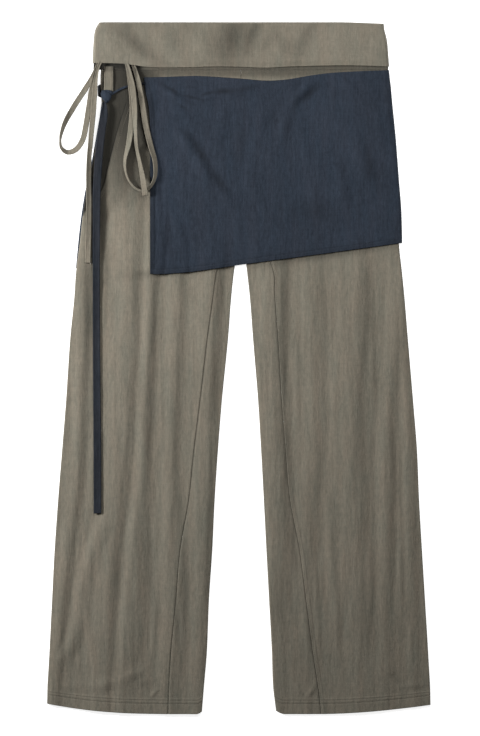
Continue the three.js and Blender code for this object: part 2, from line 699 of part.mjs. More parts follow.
const loopLeft = tie("drawstring_loop_left", PAINT.taupe, DRAWSTRING_WIDTH, [
  { x: -182.4, y: 499, slim: 0.45 },
  { x: -171, y: 487, slim: 0.4 },
  { x: -163.5, y: 474, slim: 0.3 },
  { x: -158.5, y: 446, slim: 0.1, lift: 1.4 },
  { x: -153, y: 412, lift: 0.6 },
  { x: -142.6, y: 377 },
  { x: -135, y: 346, turn: 20 },
  { x: -129.6, y: 318, turn: 35, slim: 0.1 },
  { x: -130.4, y: 294.8, turn: 45, slim: 0.25 },
  { x: -136.8, y: 281.5, turn: 45, slim: 0.35 },
  { x: -145.3, y: 275.5, turn: 40, slim: 0.4 },
  { x: -157.7, y: 277.5, turn: 40, slim: 0.4 },
  { x: -168.6, y: 288.6, turn: 40, slim: 0.35 },
  { x: -174.8, y: 304.1, turn: 35, slim: 0.2 },
  { x: -175.8, y: 322.7, turn: 20 },
  { x: -171.7, y: 346 },
  { x: -168.6, y: 372 },
  { x: -168.4, y: 402 },
  { x: -170.2, y: 436 },
  { x: -172.4, y: 468, slim: 0.3 },
  { x: -176, y: 482, slim: 0.45 },
  { x: -182.4, y: 492.5, slim: 0.5 },
], resting, { spacing: 11 });
const tailLeft = tie("drawstring_tail_left", PAINT.taupe, DRAWSTRING_WIDTH, [
  { x: -184.6, y: 487.3, slim: 0.5 },
  { x: -177.5, y: 480, slim: 0.4 },
  { x: -172.8, y: 470, slim: 0.2 },
  { x: -168.4, y: 440 },
  { x: -162.6, y: 400, turn: 10 },
  { x: -160.4, y: 372.3, turn: 40, slim: 0.3 },
  { x: -157.6, y: 341.3, turn: 40, slim: 0.4 },
  { x: -153.6, y: 321.2, turn: 35, slim: 0.35 },
  { x: -149.4, y: 299.5, turn: 20, slim: 0.1 },
  { x: -145.6, y: 276.2, turn: 5, lift: 0.5 },
  { x: -144.4, y: 266.9, lift: 0.5 },
], [...resting, loopLeft], { spacing: 15 });

const group = new THREE.Group();
group.add(
  ...trousers, ...aprons, ...bands, sideLoop,
  navyKnot, frontStrand, backStrand, navyTail,
  drawKnot, loopRight, tailRight, loopLeft, tailLeft,
);
export default group;
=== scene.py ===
"""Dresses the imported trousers: thin cloth with folds and crinkle, seams, stitching, ties and light.

The garment lies on its back on a table. Tables and shapes are in millimetres, +X to the wearer's
left leg, +Y to the waist and +Z up from the table, and a mesh is made in metres.
"""

import bpy
import numpy as np
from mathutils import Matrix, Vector


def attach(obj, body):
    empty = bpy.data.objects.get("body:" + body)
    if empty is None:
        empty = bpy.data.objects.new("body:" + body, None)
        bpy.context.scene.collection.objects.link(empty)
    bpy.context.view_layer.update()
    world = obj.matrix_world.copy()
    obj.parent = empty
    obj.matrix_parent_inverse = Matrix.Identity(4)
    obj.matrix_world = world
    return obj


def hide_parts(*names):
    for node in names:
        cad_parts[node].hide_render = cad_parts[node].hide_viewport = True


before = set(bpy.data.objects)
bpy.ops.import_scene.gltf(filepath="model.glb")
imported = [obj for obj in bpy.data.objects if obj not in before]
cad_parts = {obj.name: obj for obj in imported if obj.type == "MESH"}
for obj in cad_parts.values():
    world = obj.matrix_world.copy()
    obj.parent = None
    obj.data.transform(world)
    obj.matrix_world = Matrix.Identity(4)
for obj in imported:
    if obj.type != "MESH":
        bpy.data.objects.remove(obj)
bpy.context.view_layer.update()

# Camera
# The garment was photographed from straight above, with a long lens.
CAMERA_HEIGHT = 6.0
SEEN_LENGTH = 1.141
SEEN_MIDDLE = (0.0019, 0.0003)
SENSOR = 36.0

lens = bpy.data.cameras.new("camera")
lens.sensor_width = SENSOR
lens.lens = SENSOR * CAMERA_HEIGHT / SEEN_LENGTH
camera = bpy.data.objects.new("camera", lens)
camera.location = (*SEEN_MIDDLE, CAMERA_HEIGHT)
bpy.context.scene.collection.objects.link(camera)
bpy.context.scene.camera = camera


# Back panels
# The back of each leg is one cut piece of crinkled cotton. It lies under the front, turns round
# the leg's inner edge and is sewn to the front at the inseam, which shows on top.
MM = 0.001
CLOTH = 1.2
GAP = 0.3
LAYER = CLOTH + GAP
HALF = CLOTH / 2

HEM = -536
HEM_TURN = -440
CROTCH = 239
WAIST_SEAM = 462

TAUPE = (0.211, 0.185, 0.1435)
TAUPE_DEEP = (0.139, 0.130, 0.1015)


def mix(a, b, t):
    """A share t of the way from a to b."""
    return a + (b - a) * t


def smooth(place, low, high):
    """Rises from 0 at low to 1 at high with level ends: three t squared less two t cubed."""
    t = np.clip((place - low) / (high - low), 0, 1)
    return t * t * (3 - 2 * t)


def bump(offset, width):
    """Raised cosine: 1 in the middle, 0 from one width away."""
    return 0.5 + 0.5 * np.cos(np.pi * np.clip(np.abs(offset) / width, 0, 1))


def ridge(offset, height, width):
    """Raised cosine of a height, 0 from one width away."""
    return height * bump(offset, width)


def curve(rows, place):
    """A smooth curve through rows of (place, value), level beyond them.

    Between two rows it is a cubic whose slope at each row is that between the row's neighbours.
    """
    at, value = np.array(sorted(rows), float).T
    count = np.arange(len(at))
    before = np.clip(count - 1, 0, None)
    after = np.clip(count + 1, None, len(at) - 1)
    slope = (value[after] - value[before]) / (at[after] - at[before])
    k = np.clip(np.searchsorted(at, place, side="right") - 1, 0, len(at) - 2)
    reach = at[k + 1] - at[k]
    s = np.clip((place - at[k]) / reach, 0, 1)
    ends = (2 * s**3 - 3 * s**2 + 1) * value[k] + (3 * s**2 - 2 * s**3) * value[k + 1]
    return ends + (s**3 - 2 * s**2 + s) * reach * slope[k] + (s**3 - s**2) * reach * slope[k + 1]


NOISE_CELLS = 256


def ripple(x, y, wide, long, seed):
    """Smooth noise from -1 to 1: random heights on cells of wide by long, blended between them."""
    heights = np.random.default_rng(seed).uniform(-1, 1, (NOISE_CELLS, NOISE_CELLS))
    i = np.floor(x / wide).astype(int)
    j = np.floor(y / long).astype(int)
    s = smooth(x / wide - i, 0, 1)
    t = smooth(y / long - j, 0, 1)

    def corner(a, b):
        return heights[(i + a) % NOISE_CELLS, (j + b) % NOISE_CELLS]

    near = mix(corner(0, 0), corner(1, 0), s)
    return mix(near, mix(corner(0, 1), corner(1, 1), s), t)


def crinkle(x, y, layers, seed):
    """Sum of layers of noise, each given as (height, width, length, how far it leans)."""
    total = 0 * x
    for number, (height, wide, long, lean) in enumerate(layers):
        total = total + height * ripple(x + lean * y, y, wide, long, seed + number)
    return total


def graded(*parts):
    """Places from 0 to 1 in even steps within each part, given as (end, steps)."""
    places = [np.zeros(1)]
    for end, steps in parts:
        places.append(np.linspace(places[-1][-1], end, steps + 1)[1:])
    return np.concatenate(places)


def add_piece(name, points, quads, cotton, triangles=(), shade=None):
    """Makes an object from points in millimetres and arrays of faces, and rides it on the garment.

    cotton is a material and its slot. shade, one value for each point, is painted shade: how far
    the cloth's colour is darkened there to stand for shadow.
    """
    paint, slot = cotton
    used, corners = np.unique(
        np.concatenate([np.ravel(quads), np.ravel(triangles)]).astype(int), return_inverse=True)
    sizes = np.repeat([4, 3], [len(quads), len(triangles)])
    mesh = bpy.data.meshes.new(name)
    mesh.vertices.add(len(used))
    mesh.vertices.foreach_set("co", (points.reshape(-1, 3)[used] * MM).ravel())
    mesh.loops.add(len(corners))
    mesh.loops.foreach_set("vertex_index", corners)
    mesh.polygons.add(len(sizes))
    mesh.polygons.foreach_set("loop_start", np.cumsum(sizes) - sizes)
    mesh.polygons.foreach_set("use_smooth", np.ones(len(sizes), bool))
    mesh.update(calc_edges=True)
    if shade is not None:
        values = np.ascontiguousarray(np.ravel(shade)[used], np.float32)
        mesh.attributes.new("shade", "FLOAT", "POINT").data.foreach_set("value", values)
    mesh.materials.append(paint)
    piece = bpy.data.objects.new(name, mesh)
    bpy.context.scene.collection.objects.link(piece)
    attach(piece, "root")
    return piece


def cloth_wall(name, middle, cotton, present=None, thick=CLOTH, shade=None):
    """A closed wall round a grid of middle points, in place of the solid of that name.

    Half its thickness is added and taken along the normal, which is the cross product of the
    grid's two directions, and a strip closes each free edge of the cells that are present.
    """
    normal = np.cross(np.gradient(middle, axis=1), np.gradient(middle, axis=0))
    normal /= np.maximum(np.linalg.norm(normal, axis=2, keepdims=True), 1e-9)
    rows, columns = middle.shape[:2]
    here = np.ones((rows - 1, columns - 1), bool) if present is None else present
    points = np.stack([middle + normal * thick / 2, middle - normal * thick / 2])
    number = np.arange(2 * rows * columns).reshape(2, rows, columns)
    a, b = number[:, :-1, :-1], number[:, :-1, 1:]
    d, c = number[:, 1:, :-1], number[:, 1:, 1:]
    around = np.pad(here, 1)
    quads = [
        np.stack([a[0], b[0], c[0], d[0]], -1)[here],
        np.stack([a[1], d[1], c[1], b[1]], -1)[here],
    ]
    for p, q, beside in ((a, b, around[:-2, 1:-1]), (b, c, around[1:-1, 2:]),
                         (c, d, around[2:, 1:-1]), (d, a, around[1:-1, :-2])):
        quads.append(np.stack([p[0], p[1], q[1], q[0]], -1)[here & ~beside])
    if shade is not None:
        shade = np.stack([np.broadcast_to(shade, (rows, columns))] * 2)
    piece = add_piece(name + "_cloth", points, np.concatenate(quads), cotton, shade=shade)
    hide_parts(name)
    return piece


class Wire:
    """A shader value. Sums, products and the like on it add Math nodes to its material."""

    def __init__(self, cloth, socket):
        self.cloth = cloth
        self.socket = socket

    def maths(self, operation, *values):
        """One Math node on these values."""
        return self.cloth.node("ShaderNodeMath", {"operation": operation}, dict(enumerate(values)))

    def __add__(self, other):
        return self.maths("ADD", self, other)

    def __sub__(self, other):
        return self.maths("SUBTRACT", self, other)

    def __rsub__(self, other):
        return self.maths("SUBTRACT", other, self)

    def __mul__(self, other):
        return self.maths("MULTIPLY", self, other)

    def sine(self):
        """Its sine, in radians."""
        return self.maths("SINE", self)

    __radd__ = __add__
    __rmul__ = __mul__


class ClothShader:
    """A material and its nodes."""

    def __init__(self, name):
        self.material = bpy.data.materials.new(name)
        self.material.use_nodes = True
        self.tree = self.material.node_tree
        self.tree.nodes.clear()

    def node(self, kind, settings=None, inputs=None, output=0):
        """Adds a node, sets its settings and then its sockets, and returns one of its outputs."""
        node = self.tree.nodes.new(kind)
        for key, value in (settings or {}).items():
            setattr(node, key, value)
        for key, value in (inputs or {}).items():
            if isinstance(value, Wire):
                self.tree.links.new(value.socket, node.inputs[key])
            else:
                node.inputs[key].default_value = value
        return Wire(self, node.outputs[output]) if node.outputs else node

    def noise(self, place, size, detail):
        """Noise from 0 to 1 whose lumps have a size along each axis, in metres."""
        stretched = self.node("ShaderNodeMapping", None, {
            "Vector": place, "Scale": [1 / side for side in size]})
        return self.node("ShaderNodeTexNoise", {"noise_dimensions": "3D"}, {
            "Vector": stretched, "Scale": 1.0, "Detail": detail, "Roughness": NOISE_ROUGHNESS})

    def blend(self, share, first, second):
        """A colour a share of the way from the first to the second."""
        return self.node("ShaderNodeMix", {"data_type": "RGBA", "clamp_factor": True}, {
            0: share, 6: first, 7: second}, output=2)


NOISE_ROUGHNESS = 0.55
# The cotton's noises: size of a lump across, along and through the cloth in metres, detail, share
# in the tone and share in the height. They are slubs, crinkle, streaks, rungs and patches
COTTON_NOISES = [
    ((0.0022, 0.020, 0.02), 3.0, 1.0, 0.7),
    ((0.0035, 0.0075, 0.02), 2.0, 1.1, 0.9),
    ((0.006, 0.07, 0.02), 2.0, 0.5, 0.3),
    ((0.016, 0.0016, 0.02), 2.0, 0.5, 0.4),
    ((0.09, 0.12, 0.09), 2.0, 0.9, 0.0),
]
# The pitch of the threads and the depth of the bumps in metres, and the weave's shares
THREAD_PITCH = 0.0007
BUMP_DISTANCE = 0.00045
WEAVE_IN_TONE = 0.06
WEAVE_IN_HEIGHT = 0.07
# Size and contrast of the patches that lean to red or to green
LEANING_SIZE = (0.014, 0.07, 0.02)
LEANING_CONTRAST = 2.0
# Slubs are a little glossier, and full painted shade gives this share of the deep colour
COTTON_ROUGHNESS = 0.9
SLUB_GLOSS = 0.12
DARKEST = 0.12


def crinkled_cotton(name, slot, deep, light, tint, sheen=0.12):
    """Cotton whose threads, slubs and fine crinkle run along its own Y. Returns it and its slot.

    Tone and height are sums of stretched noises, with the product of two sines for the weave.
    Longer patches lean to red or to green by a share, the tint. The shade attribute is painted
    shade: where it is 1, the colour is the darkest, as in full shadow.
    """
    cloth = ClothShader(name)
    place = cloth.node("ShaderNodeTexCoord", None, None, output="Object")
    across = cloth.node("ShaderNodeSeparateXYZ", None, {0: place})
    along = Wire(cloth, across.socket.node.outputs[1])
    turn = 2 * np.pi / THREAD_PITCH
    weave = (across * turn).sine() * (along * turn).sine()
    tone_and_painted_shade = weave * WEAVE_IN_TONE + 0.5
    height = weave * WEAVE_IN_HEIGHT
    noises = [cloth.noise(place, size, detail) for size, detail, _, _ in COTTON_NOISES]
    for noise, (_, _, in_tone, in_height) in zip(noises, COTTON_NOISES):
        tone_and_painted_shade = tone_and_painted_shade + (noise - 0.5) * in_tone
        height = height + noise * in_height
    slubs = noises[0]
    normal = cloth.node("ShaderNodeBump", None, {
        "Strength": 1.0, "Distance": BUMP_DISTANCE, "Height": height})
    # Painted shade: the shade attribute darkens the colour where shadow falls
    wrinkles_and_painted_shade = cloth.node("ShaderNodeAttribute", {"attribute_name": "shade"}, None, output=2)
    darkest = tuple(DARKEST * part for part in deep)
    leaning = (cloth.noise(place, LEANING_SIZE, 1.0) - 0.5) * LEANING_CONTRAST + 0.5
    tinted = cloth.blend(leaning, (1 - tint, 1, 1 + tint / 4, 1), (1 + tint, 1, 1 - tint / 4, 1))
    cotton = cloth.node("ShaderNodeMix", {"data_type": "RGBA", "blend_type": "MULTIPLY"}, {
        0: 1.0, 6: cloth.blend(tone_and_painted_shade, (*deep, 1), (*light, 1)), 7: tinted}, output=2)
    surface = cloth.node("ShaderNodeBsdfPrincipled", None, {
        "Base Color": cloth.blend(wrinkles_and_painted_shade, cotton, (*darkest, 1)),
        "Roughness": COTTON_ROUGHNESS - slubs * SLUB_GLOSS,
        "Normal": normal,
        "Specular IOR Level": 0.22,
        "Sheen Weight": sheen,
        "Sheen Roughness": 0.45,
    })
    cloth.node("ShaderNodeOutputMaterial", None, {"Surface": surface})
    return cloth.material, slot


taupe_cotton = crinkled_cotton(
    "taupe_crinkled_cotton", "taupe_cotton", TAUPE_DEEP, TAUPE, tint=0.032)

# Edges of the legs: (height along the garment, place across). A leg's inseam has rolled from its
# inner edge onto the front
RIGHT_LEG = {
    "side": -1,
    "outer": [
        (462, -214), (436, -214.2), (415, -212.8), (400, -212.8), (370, -216.8), (315, -227.6),
        (275, -236), (239, -241.4), (191, -246.8), (149, -252.3), (106, -255.4), (44, -261.6),
        (-49, -267.8), (-127, -274), (-204, -280.2), (-282, -285.6), (-359, -289.5),
        (-437, -293.4), (-499, -296.4), (-536, -297.2),
    ],
    "seam": [
        (462, 3.2), (315, 3.2), (239, -1.5), (191, -19.8), (149, -33.7), (106, -39.9),
        (44, -48.4), (-49, -59.3), (-127, -68.9), (-204, -77.1), (-282, -90.6), (-359, -97),
        (-437, -104.5), (-499, -108.1), (-536, -109.2),
    ],
    "inner": [
        (462, 3.2), (315, 3.2), (239, 3.1), (191, -1.2), (149, -7.4), (106, -12), (44, -16.7),
        (-49, -26), (-127, -32.2), (-204, -37.3), (-282, -41), (-359, -46.1), (-437, -49.2),
        (-499, -53.9), (-536, -57),
    ],
    "hem": {"flat_to": -98.8, "rise": 12.4, "over": 178.2, "power": 2.5,
            "corner": -66, "corner_rise": 4.7, "corner_over": 9},
    # Lengthwise folds: the crest's path from the top, its height, the width of its two sides, with
    # another on the right low down if it spreads there, whether it starts beside the apron, and
    # the heights where it starts and ends if it doesn't run to the hem
    "folds": [
        {"crest": [(200, -237), (121, -243), (44, -243), (-49, -246), (-173, -252), (-266, -264),
                   (-359, -274), (-421, -280), (-536, -287)],
         "height": 2.6, "left": 18, "right": 15, "open": True},
        {"crest": [(-235, -212), (-297, -232), (-344, -243), (-390, -249), (-421, -258),
                   (-450, -271)],
         "height": 2.4, "left": 16, "right": 22, "open": True, "from": -215, "to": -465},
        {"crest": [(190, -166), (121, -169), (-49, -175), (-173, -187), (-266, -195),
                   (-359, -203), (-421, -207), (-536, -212)],
         "height": 3.2, "left": 40, "right": 23, "open": True},
        {"crest": [(190, -132), (121, -136), (28, -141), (-49, -144.5), (-111, -147),
                   (-189, -152), (-266, -163), (-359, -171), (-421, -176), (-536, -186)],
         "height": 3.3, "left": 17, "right": 16, "right_low": 36, "open": True},
        {"crest": [(121, -95), (28, -99), (-49, -102), (-142, -105), (-266, -107), (-536, -108)],
         "height": 2.6, "left": 22, "right": 16, "right_low": 34, "open": False},
        {"crest": [(121, -41.5), (-127, -50), (-359, -57), (-536, -63)],
         "height": 3.4, "left": 34, "right": 22, "open": False},
    ],
    # Shorter creases: from one end to the other, height and half width
    "creases": [
        (-274, -499, -225, -497, 0.5, 16), (-236, -499, -180, -484, 1.2, 15),
        (-190, -488, -140, -462, 0.9, 12), (-139, -512, -122, -494, 0.9, 5),
        (-94, -330, -92, -455, -0.9, 8), (-122, 60, -118, -160, 0.7, 6),
        (-206, 200, -214, 20, 0.9, 8), (-222, -60, -230, -240, 0.8, 8),
        (-196, 396, -178, 330, 0.5, 9), (-160, 330, -168, 250, 0.6, 9),
        (-70, 60, -77, -120, 0.7, 6), (-128, -300, -134, -470, 0.9, 9),
        (-240, -330, -226, -470, 0.8, 9), (-180, -60, -184, -160, -0.6, 7),
    ],
    # Painted shade where shadow falls in fold hollows, under the apron's hem and beside the ties:
    # from one end to the other, depth, half width
    "painted_shade_lines": [
        (-184, 142, 34, 163, 0.44, 11), (-26, 200, -33, 60, 0.26, 11),
        (-31, 90, -44, -120, 0.24, 12), (-42, -100, -50, -420, 0.18, 9),
        (-80, -230, -87, -510, 0.34, 12), (-141, -230, -138, -410, 0.24, 10),
        (-160, -492, -126, -486, 0.20, 12), (-134, 170, -132, -20, 0.18, 10),
        (-138, 20, -146, -180, 0.16, 9), (-190, -250, -194, -420, 0.12, 8),
        (-231, 190, -233, -40, 0.36, 11), (-158, 190, -160, 20, 0.10, 7),
        (-213, 350, -212, 215, 0.60, 15), (-212.5, 280, -212, 140, 0.60, 15),
        (-227.5, 330, -226.5, 160, 0.85, 5),
    ],
    # The share of their height that folds keep low down, whether a second row of stitches runs
    # beside the inseam there, and the seed of the crinkle
    "low": 1.0,
    "second_row": False,
    "seed": 3,
}
LEFT_LEG = {
    "side": 1,
    "outer": [
        (462, 232), (400, 236), (315, 241), (239, 246.5), (191, 248.4), (149, 253), (106, 257.2),
        (44, 262.3), (-49, 270.1), (-127, 276.3), (-204, 279.5), (-282, 284), (-359, 288.7),
        (-437, 293.4), (-499, 296.4), (-536, 297.2),
    ],
    "seam": [
        (462, 3.8), (315, 3.8), (239, 9), (191, 36), (149, 53.9), (106, 56.2), (44, 60.8),
        (-49, 66.3), (-127, 72.5), (-204, 79.4), (-282, 94.2), (-359, 104.2), (-437, 114.3),
        (-499, 123.6), (-536, 127.5),
    ],
    "inner": [
        (462, 3.8), (315, 3.8), (239, 3.9), (191, 8.1), (149, 12.8), (106, 17.4), (44, 22.1),
        (-49, 29.8), (-127, 34.5), (-204, 38.7), (-282, 42.7), (-359, 46.9), (-437, 51.1),
        (-499, 53.1), (-536, 57.5),
    ],
    "hem": {"flat_to": 126, "rise": 14.3, "over": 171, "power": 1.7,
            "corner": 72, "corner_rise": 5.4, "corner_over": 14},
    "folds": [
        {"crest": [(121, 50), (-49, 52), (-173, 58), (-266, 60), (-359, 55), (-536, 58)],
         "height": 3.6, "left": 32, "right": 32, "open": False},
        {"crest": [(121, 114), (28, 116), (-80, 116), (-173, 112), (-250, 105), (-536, 100)],
         "height": 2.1, "left": 34, "right": 25, "open": False},
        {"crest": [(121, 181), (28, 181), (-80, 177), (-173, 176), (-266, 181), (-359, 186),
                   (-437, 189), (-536, 190)],
         "height": 3.4, "left": 48, "right": 36, "open": False},
        {"crest": [(121, 246), (28, 240), (-49, 232), (-127, 229), (-266, 228), (-536, 225)],
         "height": 2.6, "left": 20, "right": 18, "open": False},
        {"crest": [(121, 256), (-127, 262), (-390, 268), (-536, 270)],
         "height": 1.7, "left": 12, "right": 14, "open": False},
        {"crest": [(-180, 138), (-235, 141), (-297, 144), (-359, 149), (-440, 152)],
         "height": 1.5, "left": 16, "right": 12, "open": False, "from": -170, "to": -450},
    ],
    "creases": [
        (236, -500, 296, -497, 0.6, 10), (215, -482, 275, -486, -0.6, 14),
        (80, -484, 104, -514, 1.0, 6), (104, -514, 122, -486, 0.9, 6),
        (100, -365, 106, -440, 0.9, 9), (206, 80, 209, -90, 0.8, 7),
        (150, 60, 147, -150, 0.8, 9), (87, 90, 92, -120, 0.8, 7),
        (36, -150, 45, -330, -0.7, 8), (205, -220, 204, -400, 0.9, 10),
        (252, -200, 250, -420, 0.8, 8), (120, -300, 124, -460, 0.7, 8),
        (165, -330, 160, -480, -0.6, 8), (30, 60, 36, -100, 0.6, 5),
    ],
    "painted_shade_lines": [
        (-40, 152, 310, 203, 0.50, 14), (73, 190, 70, 20, 0.38, 10), (70, 60, 69, -70, 0.34, 9),
        (69, -50, 77, -215, 0.34, 9), (76, -190, 90, -340, 0.26, 9), (200, 200, 197, 50, 0.20, 14),
        (197, 100, 188, -60, 0.24, 11), (133, 140, 131, -30, 0.12, 6),
        (186, 0, 187, -190, 0.18, 12), (196, -290, 200, -490, 0.14, 14),
        (236, -466, 250, -500, 0.18, 11), (236, -60, 242, -260, 0.12, 8),
        (82, -260, 84, -420, 0.12, 8), (256, 150, 262, -60, 0.12, 8),
    ],
    "low": 0.5,
    "second_row": True,
    "seed": 11,
}
# Between these heights the folds of bare and of covered cloth grow to their full height
GROWS_OPEN = (170, 300)
GROWS_COVERED = (130, 215)
# Lower down they sink to a leg's own share of it, some spread, and all are lower at the hem
SINKS = (-430, -230)
SPREADS = (-350, -130)
FOLD_AT_HEM = 0.7
# A fold that doesn't run to the hem grows over this length, and ends between these distances from
# its lower end
FADES_IN = 50
FADES_OUT = (-25, 40)
# Layers of crinkle: (height, width, length, how far it leans). Over the hips, above these heights,
# the fine ones keep a share of their height, and everything dies away under the band
FINE_CRINKLE = [(0.27, 4.6, 38, 0), (0.25, 11, 80, 0.06)]
BROAD_CRINKLE = [(0.16, 17, 34, 0)]
HEM_CRINKLE = [(0.22, 5.5, 60, 0.5)]
STRETCHED = (260, 330)
STRETCHED_SHARE = 0.5
UNDER_BAND = (456, 461)
# The hem's double cloth and its rows of stitching, and the grooves there and at the inseam:
# (depth, half width)
HEM_DEPTH = 23
HEM_RISE = 0.45
HEM_STITCHES = (16, 21.5)
HEM_GROOVE = (0.36, 1.7)
SEAM_GROOVE = (0.34, 3.2)
SEAM_ENDS = (CROTCH, CROTCH + 20)
LOWEST = -0.2
# Painted shade along the inseam's groove: its depth low down and high up, where it changes, and
# its half width
SEAM_SHADE = (0.24, 0.40)
SEAM_DEEPENS = (-300, 60)
SEAM_HALF = 2.0
SEAM_UNEVEN = [(0.10, 30, 45, 0)]
# Painted shade at rows of stitches: (depth, half width)
HEM_ROW_SHADE = (0.28, 1.4)
SECOND_ROW_SHADE = (0.22, 1.8)
SECOND_ROW_ENDS = (-220, -160)
# Low on the left leg a second row runs beside the inseam, this far from it
SECOND_ROW = 6.0
# Painted shadow under the waistband: its depth and the heights over which it grows
BAND_SHADE = 0.55
BAND_SHADE_RISES = (445, 457)

# The back of the apron, which the legs lie on: its sides and its slanting hem, and between which
# distances from the hem the cloth above it comes down
APRON_LEFT = -249
APRON_RIGHT = 253
APRON_BACK_HEM_LEFT = 155
APRON_BACK_HEM_RIGHT = 194
APRON_STEP = (-32, -3)
# A crease's raised cosine along it, in shares of its length from its middle
CREASE_REACH = 0.62


def lift(x, y):
    """How far the trousers are raised where they lie on the apron's back: a soft step near its hem."""
    share = (x - APRON_LEFT) / (APRON_RIGHT - APRON_LEFT)
    hem = mix(APRON_BACK_HEM_LEFT, APRON_BACK_HEM_RIGHT, share)
    return LAYER * smooth(y - hem, *APRON_STEP)


def creased(lines, x, y):
    """Straight soft creases: a raised cosine across each line, which dies away past its ends."""
    total = 0 * x
    for x1, y1, x2, y2, height, half in lines:
        run = (x2 - x1) ** 2 + (y2 - y1) ** 2
        t = np.clip(((x - x1) * (x2 - x1) + (y - y1) * (y2 - y1)) / run, 0, 1)
        off = np.hypot(x - mix(x1, x2, t), y - mix(y1, y2, t))
        total = total + height * bump(off, half) * bump(t - 0.5, CREASE_REACH)
    return total


def folds(leg, x, y):
    """Height of a leg's cloth over the layer under it.

    The sum of soft ridges whose crests wander down the leg, shorter creases, crinkle as
    stretched noise, and the hem's double cloth with a groove at each row of its stitching.
    """
    opened = 1 - smooth(y, *GROWS_OPEN)
    covered = 1 - smooth(y, *GROWS_COVERED)
    total = 0 * x
    for fold in leg["folds"]:
        offset = x - curve(fold["crest"], y)
        right = mix(fold.get("right_low", fold["right"]), fold["right"], smooth(y, *SPREADS))
        grown = opened if fold["open"] else covered
        if "from" in fold:
            grown = grown * smooth(y - fold["to"], *FADES_OUT)
            grown = grown * (1 - smooth(y - fold["from"], -FADES_IN, 0))
        width = np.where(offset < 0, fold["left"], right)
        total = total + grown * ridge(offset, fold["height"], width)
    total = total * mix(leg["low"], 1, smooth(y, *SINKS))
    total = total * mix(FOLD_AT_HEM, 1, smooth(y, HEM, HEM_TURN))
    seed = leg["seed"]
    total = total + creased(leg["creases"], x, y) + crinkle(x, y, BROAD_CRINKLE, seed + 2)
    fine = mix(1, STRETCHED_SHARE, smooth(y, *STRETCHED))
    total = total + fine * crinkle(x, y, FINE_CRINKLE, seed)
    up = y - HEM
    in_hem = 1 - smooth(up, HEM_DEPTH - 1, HEM_DEPTH + 2)
    total = total + in_hem * (HEM_RISE + crinkle(x, y, HEM_CRINKLE, seed + 3))
    for row in HEM_STITCHES:
        total = total - ridge(up - row, *HEM_GROOVE)
    total = total * (1 - smooth(y, *UNDER_BAND))
    groove = ridge(x - curve(leg["seam"], y), *SEAM_GROOVE) * (1 - smooth(y, *SEAM_ENDS))
    return np.maximum(total - groove, LOWEST)


def leg_shade(leg, x, y):
    """How much a leg has darkened.

    The greatest of the painted shades along the inseam, at rows of stitches, beside folds and
    under the waistband, where shadow falls.
    """
    across = (x - curve(leg["seam"], y)) * leg["side"]
    depth = mix(*SEAM_SHADE, smooth(y, *SEAM_DEEPENS)) + crinkle(x, y, SEAM_UNEVEN, leg["seed"] + 6)
    shade = ridge(across, depth, SEAM_HALF) * (1 - smooth(y, *SEAM_ENDS))
    if leg["second_row"]:
        row = ridge(across - SECOND_ROW, *SECOND_ROW_SHADE) * (1 - smooth(y, *SECOND_ROW_ENDS))
        shade = np.maximum(shade, row)
    for height in HEM_STITCHES:
        shade = np.maximum(shade, ridge(y - HEM - height, *HEM_ROW_SHADE))
    shade = np.maximum(shade, creased(leg["painted_shade_lines"], x, y))
    return np.maximum(shade, BAND_SHADE * smooth(y, *BAND_SHADE_RISES))


def down(leg, x, y):
    """The hem rises towards the leg's outer edge and is rounded at its inner corner."""
    hem, side = leg["hem"], leg["side"]
    outward = np.clip((x - hem["flat_to"]) * side, 0, None)
    inward = np.clip((hem["corner"] - x) * side, 0, None)
    rise = hem["rise"] * (outward / hem["over"]) ** hem["power"]
    rise = rise + hem["corner_rise"] * (inward / hem["corner_over"]) ** 2
    return y + rise * (1 - smooth(y, HEM, HEM_TURN))


def front_middle(leg, x, y):
    """Mid height of the cloth on top of a leg."""
    return lift(x, y) + LAYER + HALF + folds(leg, x, y)


def leg_points(leg, x, y, z):
    """Points of a leg's cloth, with its hem shaped."""
    return np.stack(np.broadcast_arrays(x, down(leg, x, y), z), -1)


def edge_turn(leg, x_edge, y, side):
    """Half a circle round a leg's edge, between the mid height of its top and of its bottom cloth.

    Gives the middle of the turn, the radius and the bottom's height. The top's height is read one
    thickness in from the edge.
    """
    top = lift(x_edge, y) + LAYER + HALF + folds(leg, x_edge + side * CLOTH, y)
    bottom = lift(x_edge, y) + HALF
    radius = (top - bottom) / 2
    return x_edge + side * (HALF + radius), radius, bottom


def half_circle(turn, side, radius, bottom, share):
    """From the bottom up round an edge: the sine of an angle across, and 1 less its cosine up."""
    angle = np.pi * share
    return turn - side * radius * np.sin(angle), bottom + radius * (1 - np.cos(angle))


# Rows down a leg, and the columns of a back's lower cloth and of its strip up to the inseam as
# shares of the way across
LEG_ROWS = mix(WAIST_SEAM + 0.25, HEM, graded((0.962, 340), (1, 38)))
LOW_COLUMNS = graded((0.05, 4), (0.9, 26), (1, 8))
TO_INSEAM_COLUMNS = graded((0.12, 4), (0.85, 24), (1, 6))[1:]
# A back starts this far in from the outer edge
BACK_START = 2.4


